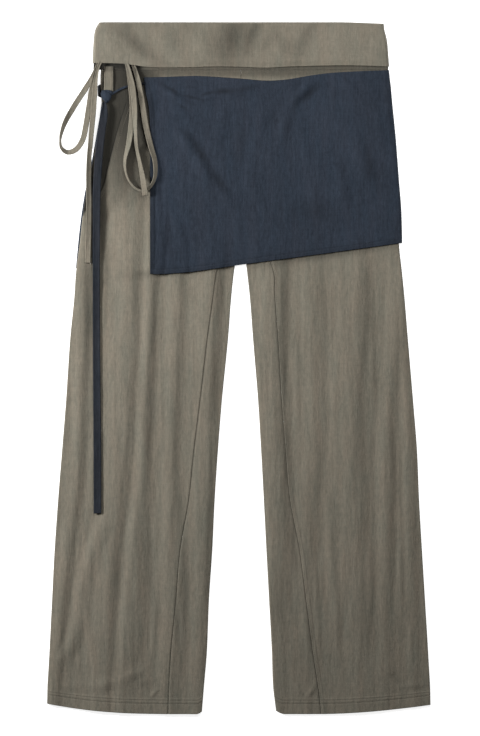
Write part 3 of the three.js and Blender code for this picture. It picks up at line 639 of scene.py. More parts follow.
def back_panel(name, leg):
    """The back of a leg: flat below, half a circle round the inner edge, then up to the inseam."""
    y = LEG_ROWS[:, None]
    side = leg["side"]
    outer, inner, seam = (curve(leg[key], y) for key in ("outer", "inner", "seam"))
    turn, radius, bottom = edge_turn(leg, inner, y, side)
    turn = np.where(y > CROTCH, inner, turn)
    x_low = mix(outer - side * BACK_START, turn, LOW_COLUMNS)
    low = leg_points(leg, x_low, y, lift(x_low, y) + HALF)
    x_round, z_round = half_circle(turn, side, radius, bottom, np.linspace(0, 1, 11)[1:])
    turned = leg_points(leg, x_round, y, z_round)
    t = TO_INSEAM_COLUMNS
    x_top = mix(turn, seam, t)
    settle = (bottom + 2 * radius - front_middle(leg, turn, y)) * (1 - t) ** 2
    top = leg_points(leg, x_top, y, front_middle(leg, x_top, y) + settle)
    middle = np.concatenate([low, turned, top], 1)
    wrapped = LEG_ROWS[:-1, None] <= CROTCH
    present = wrapped | (np.arange(middle.shape[1] - 1) < low.shape[1] - 1)
    return cloth_wall(name, middle, taupe_cotton, present, shade=leg_shade(leg, middle[..., 0], y))


back_right = back_panel("back_right", RIGHT_LEG)
back_left = back_panel("back_left", LEFT_LEG)


# Front panels
# Each front lies on its back panel and turns down round the leg's outer edge to the side seam.
# The one on the wearer's right is cut back along a slant pocket, whose edge is turned and sewn.
POCKET_EDGE = [(462, -160), (423, -170), (370, -187), (310, -203), (275, -213), (250, -232),
               (239, -241.4)]
POCKET_SETTLE = (20, 45)
# Painted shadow of the bow on the hip between the pocket and the apron's corner:
# (height, depth of painted shade)
HIP_SHADE = [(462, 0.98), (425, 0.97), (395, 0.93), (360, 0.86), (330, 0.76), (300, 0.60),
             (268, 0.30), (240, 0)]
HIP_SHADE_X = -166
HIP_SHADE_WIDE = 64
# Painted shade at the pocket's edge and at its row of stitches: (depth, half width), and how far
# the row's shade lies from the edge
POCKET_EDGE_SHADE = (0.98, 3.4)
POCKET_ROW_SHADE = (0.3, 1.3)
POCKET_ROW_SHADE_AT = 7
FRONT_COLUMNS = graded((0.03, 5), (0.94, 88), (1, 9))
# Above the crotch a front runs this far past its seam's line to meet the other one. Below it, it
# stops a gap short of the inseam
PAST_SEAM = 0.25


def over_pocket(x, y):
    """How far the front panel is raised where it lies on the pocket piece."""
    settled = smooth(x - curve(POCKET_EDGE, y), *POCKET_SETTLE)
    return np.where(y > CROTCH, LAYER * (1 - settled), 0)


def front_panel(name, leg, pocket):
    """A front: its top follows the folds, and half a circle takes it round the outer edge."""
    y = LEG_ROWS[:, None]
    side = -leg["side"]
    opened = (y > CROTCH) & pocket
    turn, radius, bottom = edge_turn(leg, curve(leg["outer"], y), y, side)
    start = np.where(opened, curve(POCKET_EDGE, y), turn)
    t = FRONT_COLUMNS
    end = curve(leg["seam"], y) + side * np.where(y > CROTCH, PAST_SEAM, -GAP)
    x_top = mix(start, end, t)
    over = over_pocket(x_top, y) if pocket else 0
    settle = (bottom + 2 * radius - front_middle(leg, turn, y)) * (1 - t) ** 6
    z_top = front_middle(leg, x_top, y) + over + np.where(opened, 0, settle)
    top = leg_points(leg, x_top, y, z_top)
    x_round, z_round = half_circle(turn, side, radius, bottom, np.linspace(0, 1, 10)[:-1])
    turned = leg_points(leg, x_round, y, z_round)
    middle = np.concatenate([turned, top], 1)
    closed = (LEG_ROWS[:-1, None] <= CROTCH) | (not pocket)
    present = closed | (np.arange(middle.shape[1] - 1) >= turned.shape[1])
    x = middle[..., 0]
    shade = leg_shade(leg, x, y)
    # Painted shade at the pocket's edge and its row, and the bow's painted shadow over the hip
    if pocket:
        from_edge = x - curve(POCKET_EDGE, y)
        row = ridge(from_edge - POCKET_ROW_SHADE_AT, *POCKET_ROW_SHADE)
        by_bow = bump(x - HIP_SHADE_X, HIP_SHADE_WIDE) ** 0.5 * curve(HIP_SHADE, y)
        on_hip = np.max([ridge(from_edge, *POCKET_EDGE_SHADE), row, by_bow], 0)
        shade = np.maximum(shade, np.where(y > CROTCH, on_hip, 0))
    return cloth_wall(name, middle, taupe_cotton, present, shade=shade)


front_right = front_panel("front_right", RIGHT_LEG, True)
front_left = front_panel("front_left", LEFT_LEG, False)


# Pocket piece
# The hip piece that shows beside the slant pocket. It is the pocket's inner side, of the same
# cotton, and turns down round the hip to the side seam.
POCKET_UNDERLAP = 14
POCKET_END = 240
POCKET_ROWS = 84
POCKET_CRINKLE = [(0.12, 4.6, 46, 0)]
POCKET_SEED = 21
# It lies this much over its rest, and stays this near to the hip's turn
POCKET_RISE = 0.1
POCKET_ROOM = 0.2
# Painted shade: the pocket piece stands for the shadow in the pocket's hollow and of the ties. It
# is darkest at the front's edge. The shade ends between these distances from it, further out by
# POCKET_WIDER above these heights, and is never less than POCKET_LEAST_SHADE
POCKET_SHADE = 0.79
POCKET_LEAST_SHADE = 0.12
POCKET_SHADE_ENDS = (22, 46)
POCKET_WIDER = 14
POCKET_WIDENS = (380, 430)
POCKET_LINE = 8


def pocket_piece():
    """From the hip's edge, with half a circle round it, to a lap under the front panel."""
    y = np.linspace(WAIST_SEAM, POCKET_END, POCKET_ROWS)[:, None]
    edge = curve(POCKET_EDGE, y)
    turn, radius, bottom = edge_turn(RIGHT_LEG, curve(RIGHT_LEG["outer"], y), y, 1)
    x_top = mix(turn, edge + POCKET_UNDERLAP, np.linspace(0, 1, 28))
    rise = crinkle(x_top, y, POCKET_CRINKLE, POCKET_SEED) + POCKET_RISE
    z_top = np.minimum(lift(x_top, y) + LAYER + HALF + rise, bottom + 2 * radius + POCKET_ROOM)
    parts = (half_circle(turn, 1, radius, bottom, np.linspace(0, 1, 9)[:-1]), (x_top, z_top))
    middle = np.concatenate([np.stack(np.broadcast_arrays(x, y, z), -1) for x, z in parts], 1)
    to_edge = edge - middle[..., 0]
    # Painted shade, deepest at and under the front's edge
    ends = smooth(to_edge - POCKET_WIDER * smooth(y, *POCKET_WIDENS), *POCKET_SHADE_ENDS)
    shade = np.maximum(POCKET_SHADE * (1 - ends) + POCKET_LEAST_SHADE, bump(to_edge, POCKET_LINE))
    shade = np.where(to_edge > 1, shade, 1)
    return cloth_wall("pocket_piece", middle, taupe_cotton, shade=shade)


pocket_piece()


# Apron
# A wrap apron of dark blue-grey cotton. Its front lies over the hips with a slanting hem and
# turns down round the wearer's left side, and its back is under the trousers. Edges are hemmed.
NAVY = (0.0250, 0.0342, 0.0512)
NAVY_DEEP = (0.0124, 0.0178, 0.0278)
# Edges of the apron. The top and the hem are (place across, height along the garment), and the
# sides are (height, place across)
APRON_TOP = [(-139, 450.4), (-119, 451), (-85, 452.2), (-60, 452.5), (0, 448.7), (41, 445.5),
             (72, 447), (110, 453.1), (141, 457.1), (188, 460), (234, 461.6)]
APRON_HEM = [(-137, 146), (-122, 145.5), (-70, 149.6), (13, 161.5), (118, 175.5), (253, 194)]
APRON_FRONT_LEFT = [(462, -147.5), (440, -145.5), (412, -139.5), (385, -137.6), (240, -137.4),
                    (146, -137.2)]
APRON_FRONT_RIGHT = [(462, 233), (400, 239.1), (354, 243.7), (292, 248.4), (240, 252.3),
                     (146, 253.4)]
APRON_BACK_TOP = 456
APRON_BACK_LEFT = [(456, -211.5), (440, -211.5), (415, -212.4), (400, -214.2), (383, -216.8),
                   (367, -219.6), (354, -221.8), (315, -229.2), (275, -237.9), (240, -243.6),
                   (204, -247.9), (155, -252.6)]
APRON_BACK_RIGHT = [(456, 232.9), (440, 235.4), (410, 238.2), (354, 243.7), (315, 246.6),
                    (260, 250.8), (240, 252.3), (194, 253.4), (155, 253.4)]
# The front clears what is within its reach by an ease, and no crease goes deeper than the lowest
APRON_EASE = 0.45
APRON_REACH = 11
APRON_LOWEST = -0.1
APRON_CRINKLE = [(0.14, 5, 38, 0), (0.2, 14, 60, 0.3)]
APRON_SEED = 41
# The height at the side is read this far in, and the cloth settles to it over this distance
SIDE_INSET = 12
SIDE_SETTLE = 30
# The double cloth along the edges, and the grooves and the painted shade at its rows of
# stitching: (depth, half width)
APRON_HEM_DEPTH = 7
APRON_HEM_RISE = 0.4
APRON_HEM_GROOVE = (0.4, 1.9)
APRON_EDGE_GROOVE = (0.2, 1.9)
APRON_HEM_ROW_SHADE = (0.3, 1.5)
APRON_EDGE_ROW_SHADE = (0.15, 1.5)
# Painted shade that fades in from the hem and from the front edge, and where it ends
BY_HEM = 0.2
BY_HEM_ENDS = (2, 14)
BY_EDGE = 0.5
BY_EDGE_ENDS = (-2, 16)
# Creases: from one end to the other, height and half width
APRON_CREASES = [
    (-124, 433, -70, 407, 2.6, 7), (-64, 415, -30, 424, 1.9, 6), (-34, 424, 30, 430, 2.2, 8),
    (-106, 404, -70, 386, 1.8, 7), (-98, 372, -66, 330, 3.0, 15), (-74, 336, -38, 280, 3.2, 16),
    (-44, 288, 2, 240, 2.4, 16), (-70, 300, -20, 236, 0.9, 12), (118, 450, 80, 408, 3.2, 11),
    (74, 412, 66, 340, 2.2, 12), (175, 376, 200, 270, 2.2, 18), (150, 330, 168, 236, 1.3, 13),
    (212, 404, 228, 320, 1.5, 10), (60, 224, 205, 216, -1.8, 15), (10, 300, 60, 214, 1.5, 14),
    (-128, 330, -126, 240, 1.0, 8), (-20, 420, -34, 330, 1.2, 13), (110, 300, 128, 200, 1.2, 12),
    (-104, 250, -78, 170, 1.4, 12), (20, 210, 34, 170, 0.9, 10), (150, 452, 190, 425, 1.4, 10),
    (40, 400, 20, 330, 1.1, 14), (96, 380, 108, 310, 1.2, 13), (-10, 250, 4, 184, 1.1, 12),
]
# Painted shade where shadow falls beside the apron's creases: from one end to the other, depth
# and half width
APRON_PAINTED_SHADE = [
    (-121, 441, -88, 423, 0.50, 4), (-92, 424, -50, 414, 0.45, 4), (-62, 421, -38, 429, 0.50, 4),
    (-46, 428, 0, 430, 0.60, 7), (-8, 430, 36, 438, 0.38, 7), (-84, 437, -62, 434, 0.25, 3),
    (-99, 412, -74, 397, 0.36, 4), (-92, 374, -68, 350, 0.20, 10), (-74, 360, -42, 305, 0.44, 11),
    (-46, 310, -14, 268, 0.40, 12), (93, 448, 84, 372, 0.34, 9), (56, 404, 48, 368, 0.12, 18),
    (128, 444, 92, 408, 0.52, 9), (58, 248, 162, 240, 0.24, 26), (231, 448, 239, 330, 0.28, 6),
    (196, 360, 214, 270, 0.24, 14), (10, 396, -2, 300, 0.20, 14),
]

navy_cotton = crinkled_cotton(
    "navy_slub_cotton", "navy_cotton", NAVY_DEEP, NAVY, tint=0.06, sheen=0.05)


def trousers_top(x, y):
    """Height of the trousers' upper face at a place. Beside them it is the apron's back or 0."""
    left, right = curve(APRON_BACK_LEFT, y), curve(APRON_BACK_RIGHT, y)
    share = np.clip((x - left) / (right - left), 0, 1)
    hem = mix(APRON_BACK_HEM_LEFT, APRON_BACK_HEM_RIGHT, share)
    behind = (x > left) & (x < right) & (y > hem) & (y < APRON_BACK_TOP)
    height = np.where(behind, CLOTH, 0)
    for leg in (RIGHT_LEG, LEFT_LEG):
        side = leg["side"]
        outer, inner = curve(leg["outer"], y), curve(leg["inner"], y)
        within = ((x - outer) * side < 0) & ((x - inner) * side > 0)
        within &= (y < WAIST_SEAM) & (y > HEM)
        top = front_middle(leg, x, y) + HALF
        if leg is RIGHT_LEG:
            top = top + np.where(x > curve(POCKET_EDGE, y), over_pocket(x, y), 0)
        height = np.where(within, np.maximum(height, top), height)
    return height


def highest_near(top, x, y, reach):
    """The greatest height within a reach of a place, from the place and eight round it."""
    angles = np.arange(8) * np.pi / 4
    tries = [top(x, y)]
    tries += [top(x + reach * np.cos(a), y + reach * np.sin(a)) for a in angles]
    return np.max(tries, 0)


def apron_rest(x, y):
    """Height of the apron's lower face: it drapes over what is near, with creases and crinkle."""
    rest = highest_near(trousers_top, x, y, APRON_REACH) + APRON_EASE
    wrinkle = creased(APRON_CREASES, x, y) + crinkle(x, y, APRON_CRINKLE, APRON_SEED)
    return rest + np.maximum(wrinkle, APRON_LOWEST)


def apron_front():
    """Rows from the waist to the hem. The last columns are a quarter circle down the side."""
    v = graded((0.94, 128), (1, 20))[:, None]
    left = curve(APRON_FRONT_LEFT, mix(APRON_BACK_TOP, APRON_BACK_HEM_LEFT, v))
    side = curve(APRON_FRONT_RIGHT, mix(WAIST_SEAM, APRON_BACK_HEM_RIGHT, v))

    def place(x):
        return mix(curve(APRON_TOP, x), curve(APRON_HEM, x), v)

    side_y = place(side)
    side_height = apron_rest(side - SIDE_INSET, side_y) + HALF
    low = lift(side, side_y)
    radius = side_height - low
    turn = side - HALF - radius
    x = mix(left, turn, graded((0.03, 12), (1, 150)))
    y = place(x)
    up = y - curve(APRON_HEM, x)
    from_left = x - left
    hem_row = up - APRON_HEM_DEPTH
    edge_row = from_left - APRON_HEM_DEPTH
    double = APRON_HEM_RISE * (1 - smooth(np.minimum(hem_row, edge_row), -1, 1))
    groove = np.maximum(ridge(hem_row, *APRON_HEM_GROOVE), ridge(edge_row, *APRON_EDGE_GROOVE))
    z = apron_rest(x, y) + HALF + double - groove
    z = mix(z, side_height, smooth(x, turn - SIDE_SETTLE, turn))
    flat = np.stack([x, y, z], -1)
    angle = np.pi / 2 * np.linspace(1, 0, 9)[1:]
    x_round = turn + radius * np.cos(angle)
    z_round = low + radius * np.sin(angle)
    turned = np.stack(np.broadcast_arrays(x_round, side_y, z_round), -1)
    # Painted shade at the rows of stitches, along the hem and front edge, and beside the creases
    shade = np.max([
        ridge(hem_row, *APRON_HEM_ROW_SHADE),
        ridge(edge_row, *APRON_EDGE_ROW_SHADE),
        BY_HEM * (1 - smooth(up, *BY_HEM_ENDS)),
        BY_EDGE * (1 - smooth(from_left, *BY_EDGE_ENDS)),
        creased(APRON_PAINTED_SHADE, x, y),
    ], 0)
    shade = np.pad(shade, ((0, 0), (0, turned.shape[1])))
    return cloth_wall("apron_front", np.concatenate([flat, turned], 1), navy_cotton, shade=shade)


def apron_back():
    """The back lies flat on the table from the waist to its slanting hem."""
    s, v = np.meshgrid(np.linspace(0, 1, 131), graded((0.96, 80), (1, 12)))
    y = mix(APRON_BACK_TOP, mix(APRON_BACK_HEM_LEFT, APRON_BACK_HEM_RIGHT, s), v)
    x = mix(curve(APRON_BACK_LEFT, y), curve(APRON_BACK_RIGHT, y), s)
    return cloth_wall("apron_back", np.stack([x, y, HALF + 0 * x], -1), navy_cotton)


apron_front()
apron_back()


# Waistband
# A deep band of the same cotton as the legs, folded over outward all round. Front and back
# halves meet at the sides, where the outer layer turns down.
BAND_LEFT = [(536, -216.5), (524, -222.8), (508, -225), (493, -226), (466, -227)]
BAND_RIGHT = [(536, 224.5), (524, 226), (508, 229.8), (493, 231.3), (466, 233.3)]
BAND_EDGE = [(-227, 472.6), (-178, 471.2), (-138, 466.4), (-69, 466.2), (-45, 467.2), (0, 466.8),
             (42, 465.4), (80, 467.2), (165, 469), (234, 467.2)]
WAIST_TOP = 536
BAND_HOLLOW = 3.1
# The outer layer turns down this far in from the sides, and the inner layer stops nearer to them
# below these heights
BAND_INSET = 5
INNER_INSET = 1.8
INNER_WIDER = (480, 500)
# The inner layer starts a little higher at the waist seam
INNER_RISE = 0.4
# The outer layer's lower edge dips by the drop over these shares of its way down, beside the bow
# and on to the wearer's left
BAND_EDGE_DROP = 1.5
EDGE_DIPS = (0.86, 1)
DIPS_FROM = (-150, -125)
# The top edge falls towards the wearer's left end
TOP_FALL = 2.2
TOP_FALLS = (160, 236)
# The outer layer's swelling over the drawstring's knot: place, height, half width and half length
KNOT_X = -195
KNOT_Y = 497
KNOT_ROOM = 2.8
KNOT_WIDE = 62
KNOT_LONG = 75
# The swelling is read here for the fold along the top
FOLD_LINE = WAIST_TOP - 4
BAND_COLUMNS = 150
BAND_END_COLUMNS = 8
BAND_CRINKLE = [(0.16, 5, 30, 0), (0.3, 22, 40, 0)]
BAND_SEED = 51
CREASES_START = (0, 0.15)
# Creases: from one end to the other, height and half width
BAND_CREASES = [
    (-212, 520, -186, 484, 1.1, 15), (-194, 540, -170, 508, -1.0, 12),
    (-174, 512, -128, 474, -1.2, 13), (-120, 528, -100, 486, 0.9, 24),
    (-66, 530, -52, 486, 0.8, 14), (-40, 532, -26, 486, -1.0, 15),
    (-8, 530, 2, 490, -0.8, 12), (30, 540, 12, 494, -1.0, 10), (52, 524, 66, 482, 0.8, 13),
    (122, 540, 92, 492, -1.1, 12), (146, 530, 170, 484, 0.9, 18), (196, 528, 206, 490, -0.6, 12),
    (-210, 477, 225, 476, 0.6, 9),
]
# Painted shade where the band's bulges and creases turn from the light: from one end to the other,
# depth and half width
BAND_PAINTED_SHADE = [
    (-210, 546, -104, 458, 0.40, 17), (-176, 552, -168, 516, 0.20, 15),
    (-80, 538, -78, 515, 0.14, 20),
    (14, 572, -36, 452, 0.54, 42), (44, 572, 4, 464, 0.38, 14), (40, 520, 60, 500, 0.18, 34),
    (132, 566, 80, 458, 0.28, 18), (84, 512, 66, 480, 0.14, 18), (-108, 530, -100, 490, 0.12, 20),
    (-226, 530, -222, 510, 0.14, 8), (210, 500, 228, 472, 0.10, 16),
]
# Painted shadow on the strip below the band's edge: deeper above these heights, and where the bow
# lies
STRIP_SHADE = 0.44
STRIP_DEEPER = 0.3
STRIP_DEEPENS = (463, 468)
BOW_SHADE = 0.4
BOW_SHADE_ENDS = (-153, -141)


def knot_room(x, y):
    """The band's outer layer swells over the drawstring's knot."""
    return KNOT_ROOM * bump(x - KNOT_X, KNOT_WIDE) * bump(y - KNOT_Y, KNOT_LONG)


def band(name, inner_under, outer_under, end_under, dressed):
    """A hairpin section carried across the garment.

    The inner layer rises from the waist seam, half a circle takes it over the top, and the outer
    layer comes down to the band's edge. At both ends a quarter circle lowers the outer layer.
    """
    up = np.sign(outer_under - inner_under)
    ends = 0 if end_under is None else BAND_END_COLUMNS
    past = np.linspace(0, 1, ends + 1)[1:]
    shares = np.linspace(0, 1, BAND_COLUMNS)
    shares = np.concatenate([np.zeros(ends), shares, np.ones(ends)])[:, None]
    end = np.concatenate([-past[::-1], np.zeros(BAND_COLUMNS), past])[:, None]

    def across_band(y):
        return mix(curve(BAND_LEFT, y) + BAND_INSET, curve(BAND_RIGHT, y) - BAND_INSET, shares)

    x0 = across_band(KNOT_Y + 0 * shares)
    swell = knot_room if dressed else (lambda x, y: 0 * x)
    inner_middle = inner_under + HALF
    outer_middle = outer_under + HALF + up * swell(x0, FOLD_LINE)
    radius = np.abs(outer_middle - inner_middle) / 2
    fold_y = WAIST_TOP - HALF - radius - TOP_FALL * smooth(x0, *TOP_FALLS)
    t = np.linspace(0, 1, 22)
    y_in = mix(WAIST_SEAM + GAP, fold_y, t)
    z_in = inner_middle + INNER_RISE * dressed * (1 - t) ** 4 + 0 * y_in
    angle = np.pi * np.linspace(0, 1, 13)[1:-1]
    y_round = fold_y + radius * np.sin(angle)
    z_round = (inner_middle + outer_middle) / 2 - up * radius * np.cos(angle)
    t = graded((0.1, 4), (0.9, 32), (1, 7))
    y_out = mix(fold_y, curve(BAND_EDGE, x0), t)
    x_out = across_band(y_out)
    z_out = outer_under + HALF + up * swell(x_out, y_out)
    if dressed:
        wrinkles_and_painted_shade = creased(BAND_CREASES, x_out, y_out) + crinkle(x_out, y_out, BAND_CRINKLE, BAND_SEED)
        dip = BAND_EDGE_DROP * smooth(t, *EDGE_DIPS) * smooth(x_out, *DIPS_FROM)
        z_out = z_out + wrinkles_and_painted_shade * smooth(t, *CREASES_START) - dip
    y = np.concatenate([y_in, y_round, y_out], 1)
    z = np.concatenate([z_in, z_round, z_out], 1)
    x = across_band(y)
    if ends:
        reach = (BAND_INSET - INNER_INSET) * (1 - smooth(y, *INNER_WIDER))
        inner = np.arange(x.shape[1]) < y_in.shape[1]
        x = x + np.where(inner, (2 * shares - 1) * reach, 0)
        bend = np.pi / 2 * (1 - np.abs(end))
        x = x + np.sign(end) * (BAND_INSET - HALF) * np.cos(bend)
        z = np.where(end == 0, z, end_under + (z - end_under) * np.sin(bend))
    half_round = y_in.shape[1] + 6
    between = (np.abs(end[:-1]) + np.abs(end[1:])) == 0
    present = between | (np.arange(x.shape[1] - 1) >= half_round)
    # Painted shadow under the band's edge and the bow, and painted shade on the band's outer layer
    strip = STRIP_SHADE + STRIP_DEEPER * smooth(y_in, *STRIP_DEEPENS)
    strip = strip + BOW_SHADE * (1 - smooth(across_band(y_in), *BOW_SHADE_ENDS))
    tone_and_painted_shade = creased(BAND_PAINTED_SHADE, x_out, y_out)
    shade = np.concatenate([strip, 0 * z_round, tone_and_painted_shade], 1) * dressed
    piece = cloth_wall(name, np.stack([x, y, z], -1), taupe_cotton, present, shade=shade)


band("band_front", 2 * LAYER, 3 * LAYER + BAND_HOLLOW, LAYER, True)
band("band_back", LAYER, 0, None, False)


# Side loop
# A short strip of the cotton, folded double, sewn on below the waistband at the wearer's right.
# It carries the apron's ties.
LOOP_LEFT = -208.5
LOOP_WIDTH = 14
LOOP_TOP = WAIST_SEAM + 5.5
LOOP_BOTTOM = 428.5
LOOP_REST = 2 * LAYER + CLOTH + GAP + HALF
# It arches up by this, and its outer side rises by the tilt between these shares of its length
LOOP_ARCH = 0.9
LOOP_TILT = 1.3
LOOP_TILTS = (0.1, 0.4)
# The groove and the painted shade of its two rows of stitching: (distance from its middle, depth,
# half width), of which the distance and the half width are shares of its width
LOOP_GROOVE = (0.38, 0.35, 0.1)
LOOP_ROW_SHADE = (0.36, 0.22, 0.09)
# Its upper end has the band's painted shadow, which ends between these shares of its length
LOOP_BAND_SHADE = 0.45
LOOP_BAND_SHADE_ENDS = (0.12, 0.3)


def loop_height(s, t):
    """Mid height of the loop: a sine arches it over the ties, and its outer side is higher."""
    return LOOP_REST + LOOP_ARCH * np.sin(np.pi * t) + LOOP_TILT * smooth(t, *LOOP_TILTS) * (1 - s)


def loop_ridges(s, from_middle, depth, half):
    """A ridge along each of the loop's two rows of stitching."""
    return ridge(np.abs(s - 0.5) - from_middle, depth, half)


s, t = np.meshgrid(np.linspace(0, 1, 15), np.linspace(0, 1, 34))
loop_points = np.stack([
    LOOP_LEFT + LOOP_WIDTH * s,
    mix(LOOP_TOP, LOOP_BOTTOM, t),
    loop_height(s, t) - loop_ridges(s, *LOOP_GROOVE),
], -1)
# Painted shadow of the band on the loop's upper end, and painted shade at its rows
under_band = LOOP_BAND_SHADE * (1 - smooth(t, *LOOP_BAND_SHADE_ENDS))
side_loop = cloth_wall("side_loop", loop_points, taupe_cotton,
                       shade=loop_ridges(s, *LOOP_ROW_SHADE) + under_band)


# Stitching
# Rows of lockstitch in thread of the cloth's colour: twin rows round each hem, rows beside the
# inseams and the slant pocket, and single rows round the apron's edge and on the side loop.
STITCH_PITCH = 3.2
STITCH_LENGTH = 2.4
STITCH_WIDE = 0.62
STITCH_TALL = 0.42
# Each stitch carries this much painted shade
STITCH_SHADE = 0.30
# A stitch is widest in the middle, and is this share of that width this share of its length away
STITCH_TAPER = 0.72
STITCH_RING = 0.34
ROUND = 6
# A row round a hem stops this far from the leg's edges, and on the two sides of the inseam. Then
# how far the rows lie from the inseam, from the pocket's edge and from the loop's sides
EDGE_CLEAR = 3
SEAM_CLEAR = (1.5, 1.8)
SEAM_ROW = 1.9
POCKET_ROW = 6.5
LOOP_ROW = 1.9
SECOND_ROW_TOP = -250
# Ends of the rows at the pocket, at the apron's hem and at its front edge
POCKET_ROW_ENDS = (452, 262)
APRON_HEM_ROW_ENDS = (-129, 222)
APRON_EDGE_ROW_ENDS = (446, 156)
# How deep the row at the apron's hem and the loop's rows are sunk
APRON_SUNK = 0.15
LOOP_SUNK = 0.25


def row_points(line):
    """Places at even pitch along a line of points, and the direction there."""
    travelled = np.concatenate([[0], np.cumsum(np.linalg.norm(np.diff(line, axis=0), axis=1))])
    at = np.arange(STITCH_PITCH / 2, travelled[-1], STITCH_PITCH)

    def along(distance):
        return np.stack([np.interp(distance, travelled, line[:, k]) for k in range(3)], 1)

    ahead = along(at + STITCH_LENGTH / 2) - along(at - STITCH_LENGTH / 2)
    return along(at), ahead / np.linalg.norm(ahead, axis=1, keepdims=True)


def stitching(name, lines, cotton):
    """One mesh of many stitches, each a closed spindle: three rings of six points and two tips."""
    places, ahead = (np.concatenate(parts) for parts in zip(*[row_points(line) for line in lines]))
    side = np.cross(ahead, (0, 0, 1))
    side /= np.linalg.norm(side, axis=1, keepdims=True)
    up = np.cross(side, ahead)
    around = np.tile(np.arange(ROUND) * 2 * np.pi / ROUND, 3)
    girth = np.repeat([STITCH_TAPER, 1, STITCH_TAPER], ROUND) / 2
    run = np.append(np.repeat([-STITCH_RING, 0, STITCH_RING], ROUND), [-0.5, 0.5]) * STITCH_LENGTH
    out = np.append(girth * np.cos(around), [0, 0]) * STITCH_WIDE
    rise = np.append(girth * np.sin(around), [0, 0]) * STITCH_TALL
    points = places[:, None] + sum(
        axis[:, None] * reach[:, None] for axis, reach in ((ahead, run), (side, out), (up, rise)))
    number = np.arange(3 * ROUND).reshape(3, ROUND)
    after = np.roll(number, -1, 1)
    quads = np.stack([number[:-1], after[:-1], after[1:], number[1:]], -1).reshape(-1, 4)
    start, end = np.full((2, ROUND), [[3 * ROUND], [3 * ROUND + 1]])
    tips = np.concatenate([np.stack([start, after[0], number[0]], -1),
                           np.stack([end, number[-1], after[-1]], -1)])
    first = len(run) * np.arange(len(places))[:, None, None]
    shade = np.full(len(run) * len(places), STITCH_SHADE)
    add_piece(name, points, (quads + first).reshape(-1, 4), cotton, (tips + first).reshape(-1, 3),
              shade=shade)


def on_leg(leg, x, y, over=0.0):
    """Places on a leg's upper face, for rows of stitches."""
    return leg_points(leg, x, y, front_middle(leg, x, y) + HALF + over)


def leg_rows(leg):
    """Twin rows above the hem, and rows on the front beside the inseam."""
    side = leg["side"]
    share = np.linspace(0, 1, 200)
    rows = []
    for height in HEM_STITCHES:
        y = np.full(len(share), HEM + height)
        inner, seam, outer = (curve(leg[key], y[:1]) for key in ("inner", "seam", "outer"))
        before, after = SEAM_CLEAR
        rows.append(on_leg(leg, mix(inner + side * EDGE_CLEAR, seam - side * before, share), y))
        rows.append(on_leg(leg, mix(seam + side * after, outer - side * EDGE_CLEAR, share), y))
    y = np.linspace(CROTCH - 60, HEM + 2, 600)
    beside = [(SEAM_ROW, y)]
    if leg["second_row"]:
        beside.append((SECOND_ROW, y[y < SECOND_ROW_TOP]))
    for across, height in beside:
        rows.append(on_leg(leg, curve(leg["seam"], height) + side * across, height))
    return rows


y = np.linspace(*POCKET_ROW_ENDS, 200)
x = curve(POCKET_EDGE, y) + POCKET_ROW
pocket_row = on_leg(RIGHT_LEG, x, y, over_pocket(x, y))
stitching("stitches_right_leg", [*leg_rows(RIGHT_LEG), pocket_row], taupe_cotton)
stitching("stitches_left_leg", leg_rows(LEFT_LEG), taupe_cotton)

x = np.linspace(*APRON_HEM_ROW_ENDS, 300)
y = curve(APRON_HEM, x) + APRON_HEM_DEPTH
hem_row = np.stack([x, y, apron_rest(x, y) + CLOTH - APRON_SUNK], 1)
y = np.linspace(*APRON_EDGE_ROW_ENDS, 240)
x = curve(APRON_FRONT_LEFT, y) + APRON_HEM_DEPTH
edge_row = np.stack([x, y, apron_rest(x, y) + CLOTH], 1)
stitching("stitches_apron", [hem_row, edge_row], navy_cotton)

y = np.linspace(LOOP_TOP - 10, LOOP_BOTTOM + 2, 20)
t = (y - LOOP_TOP) / (LOOP_BOTTOM - LOOP_TOP)
sewn = []
for s in (LOOP_ROW / LOOP_WIDTH, 1 - LOOP_ROW / LOOP_WIDTH):
    x = np.full(len(y), LOOP_LEFT + LOOP_WIDTH * s)
    sewn.append(np.stack([x, y, loop_height(s, t) + HALF - LOOP_SUNK], 1))
stitching("stitches_side_loop", sewn, taupe_cotton)


# Apron ties
# Two narrow ties of the apron's cotton come from its upper corners, are knotted at the side loop,
# and one long end hangs down the leg. Each is a strip folded in and sewn along its edge.
NAVY_TIE_WIDTH = 12
NAVY_STRAND_WIDTH = 3.4
NAVY_TIE = (0.0180, 0.0215, 0.0290)
NAVY_TIE_DEEP = (0.0095, 0.0117, 0.0165)
navy_tie = crinkled_cotton(
    "navy_tie_cotton", "navy_cotton", NAVY_TIE_DEEP, NAVY_TIE, tint=0.08, sheen=0.05)
TIE_THICK = 1.2
STRAND_THICK = 1.6
# Distance between points along a tie, and points over which its rest is evened out
TIE_STEP = 1.6
TIE_SOFTENED = 4
ROUTE_STEPS = 40
# A gutter's depth is a share of the tie's width. Across it, it rises with a power of the distance
# from the middle, less a mean
GUTTER_DEPTH = 0.13
GUTTER_POWER = 1.6
GUTTER_MEAN = 0.45
# Waves along a tie: (height, length). A sewn edge stands up by this, at a share of the way to the
# side, over a width that is a share too
TIE_WAVE = (0.22, 13)
SEWN_EDGE = 0.25
SEWN_AT = 0.8
SEWN_WIDE = 0.2
# A tie that crosses another keeps this clear of it
BESIDE_TIE = 0.5


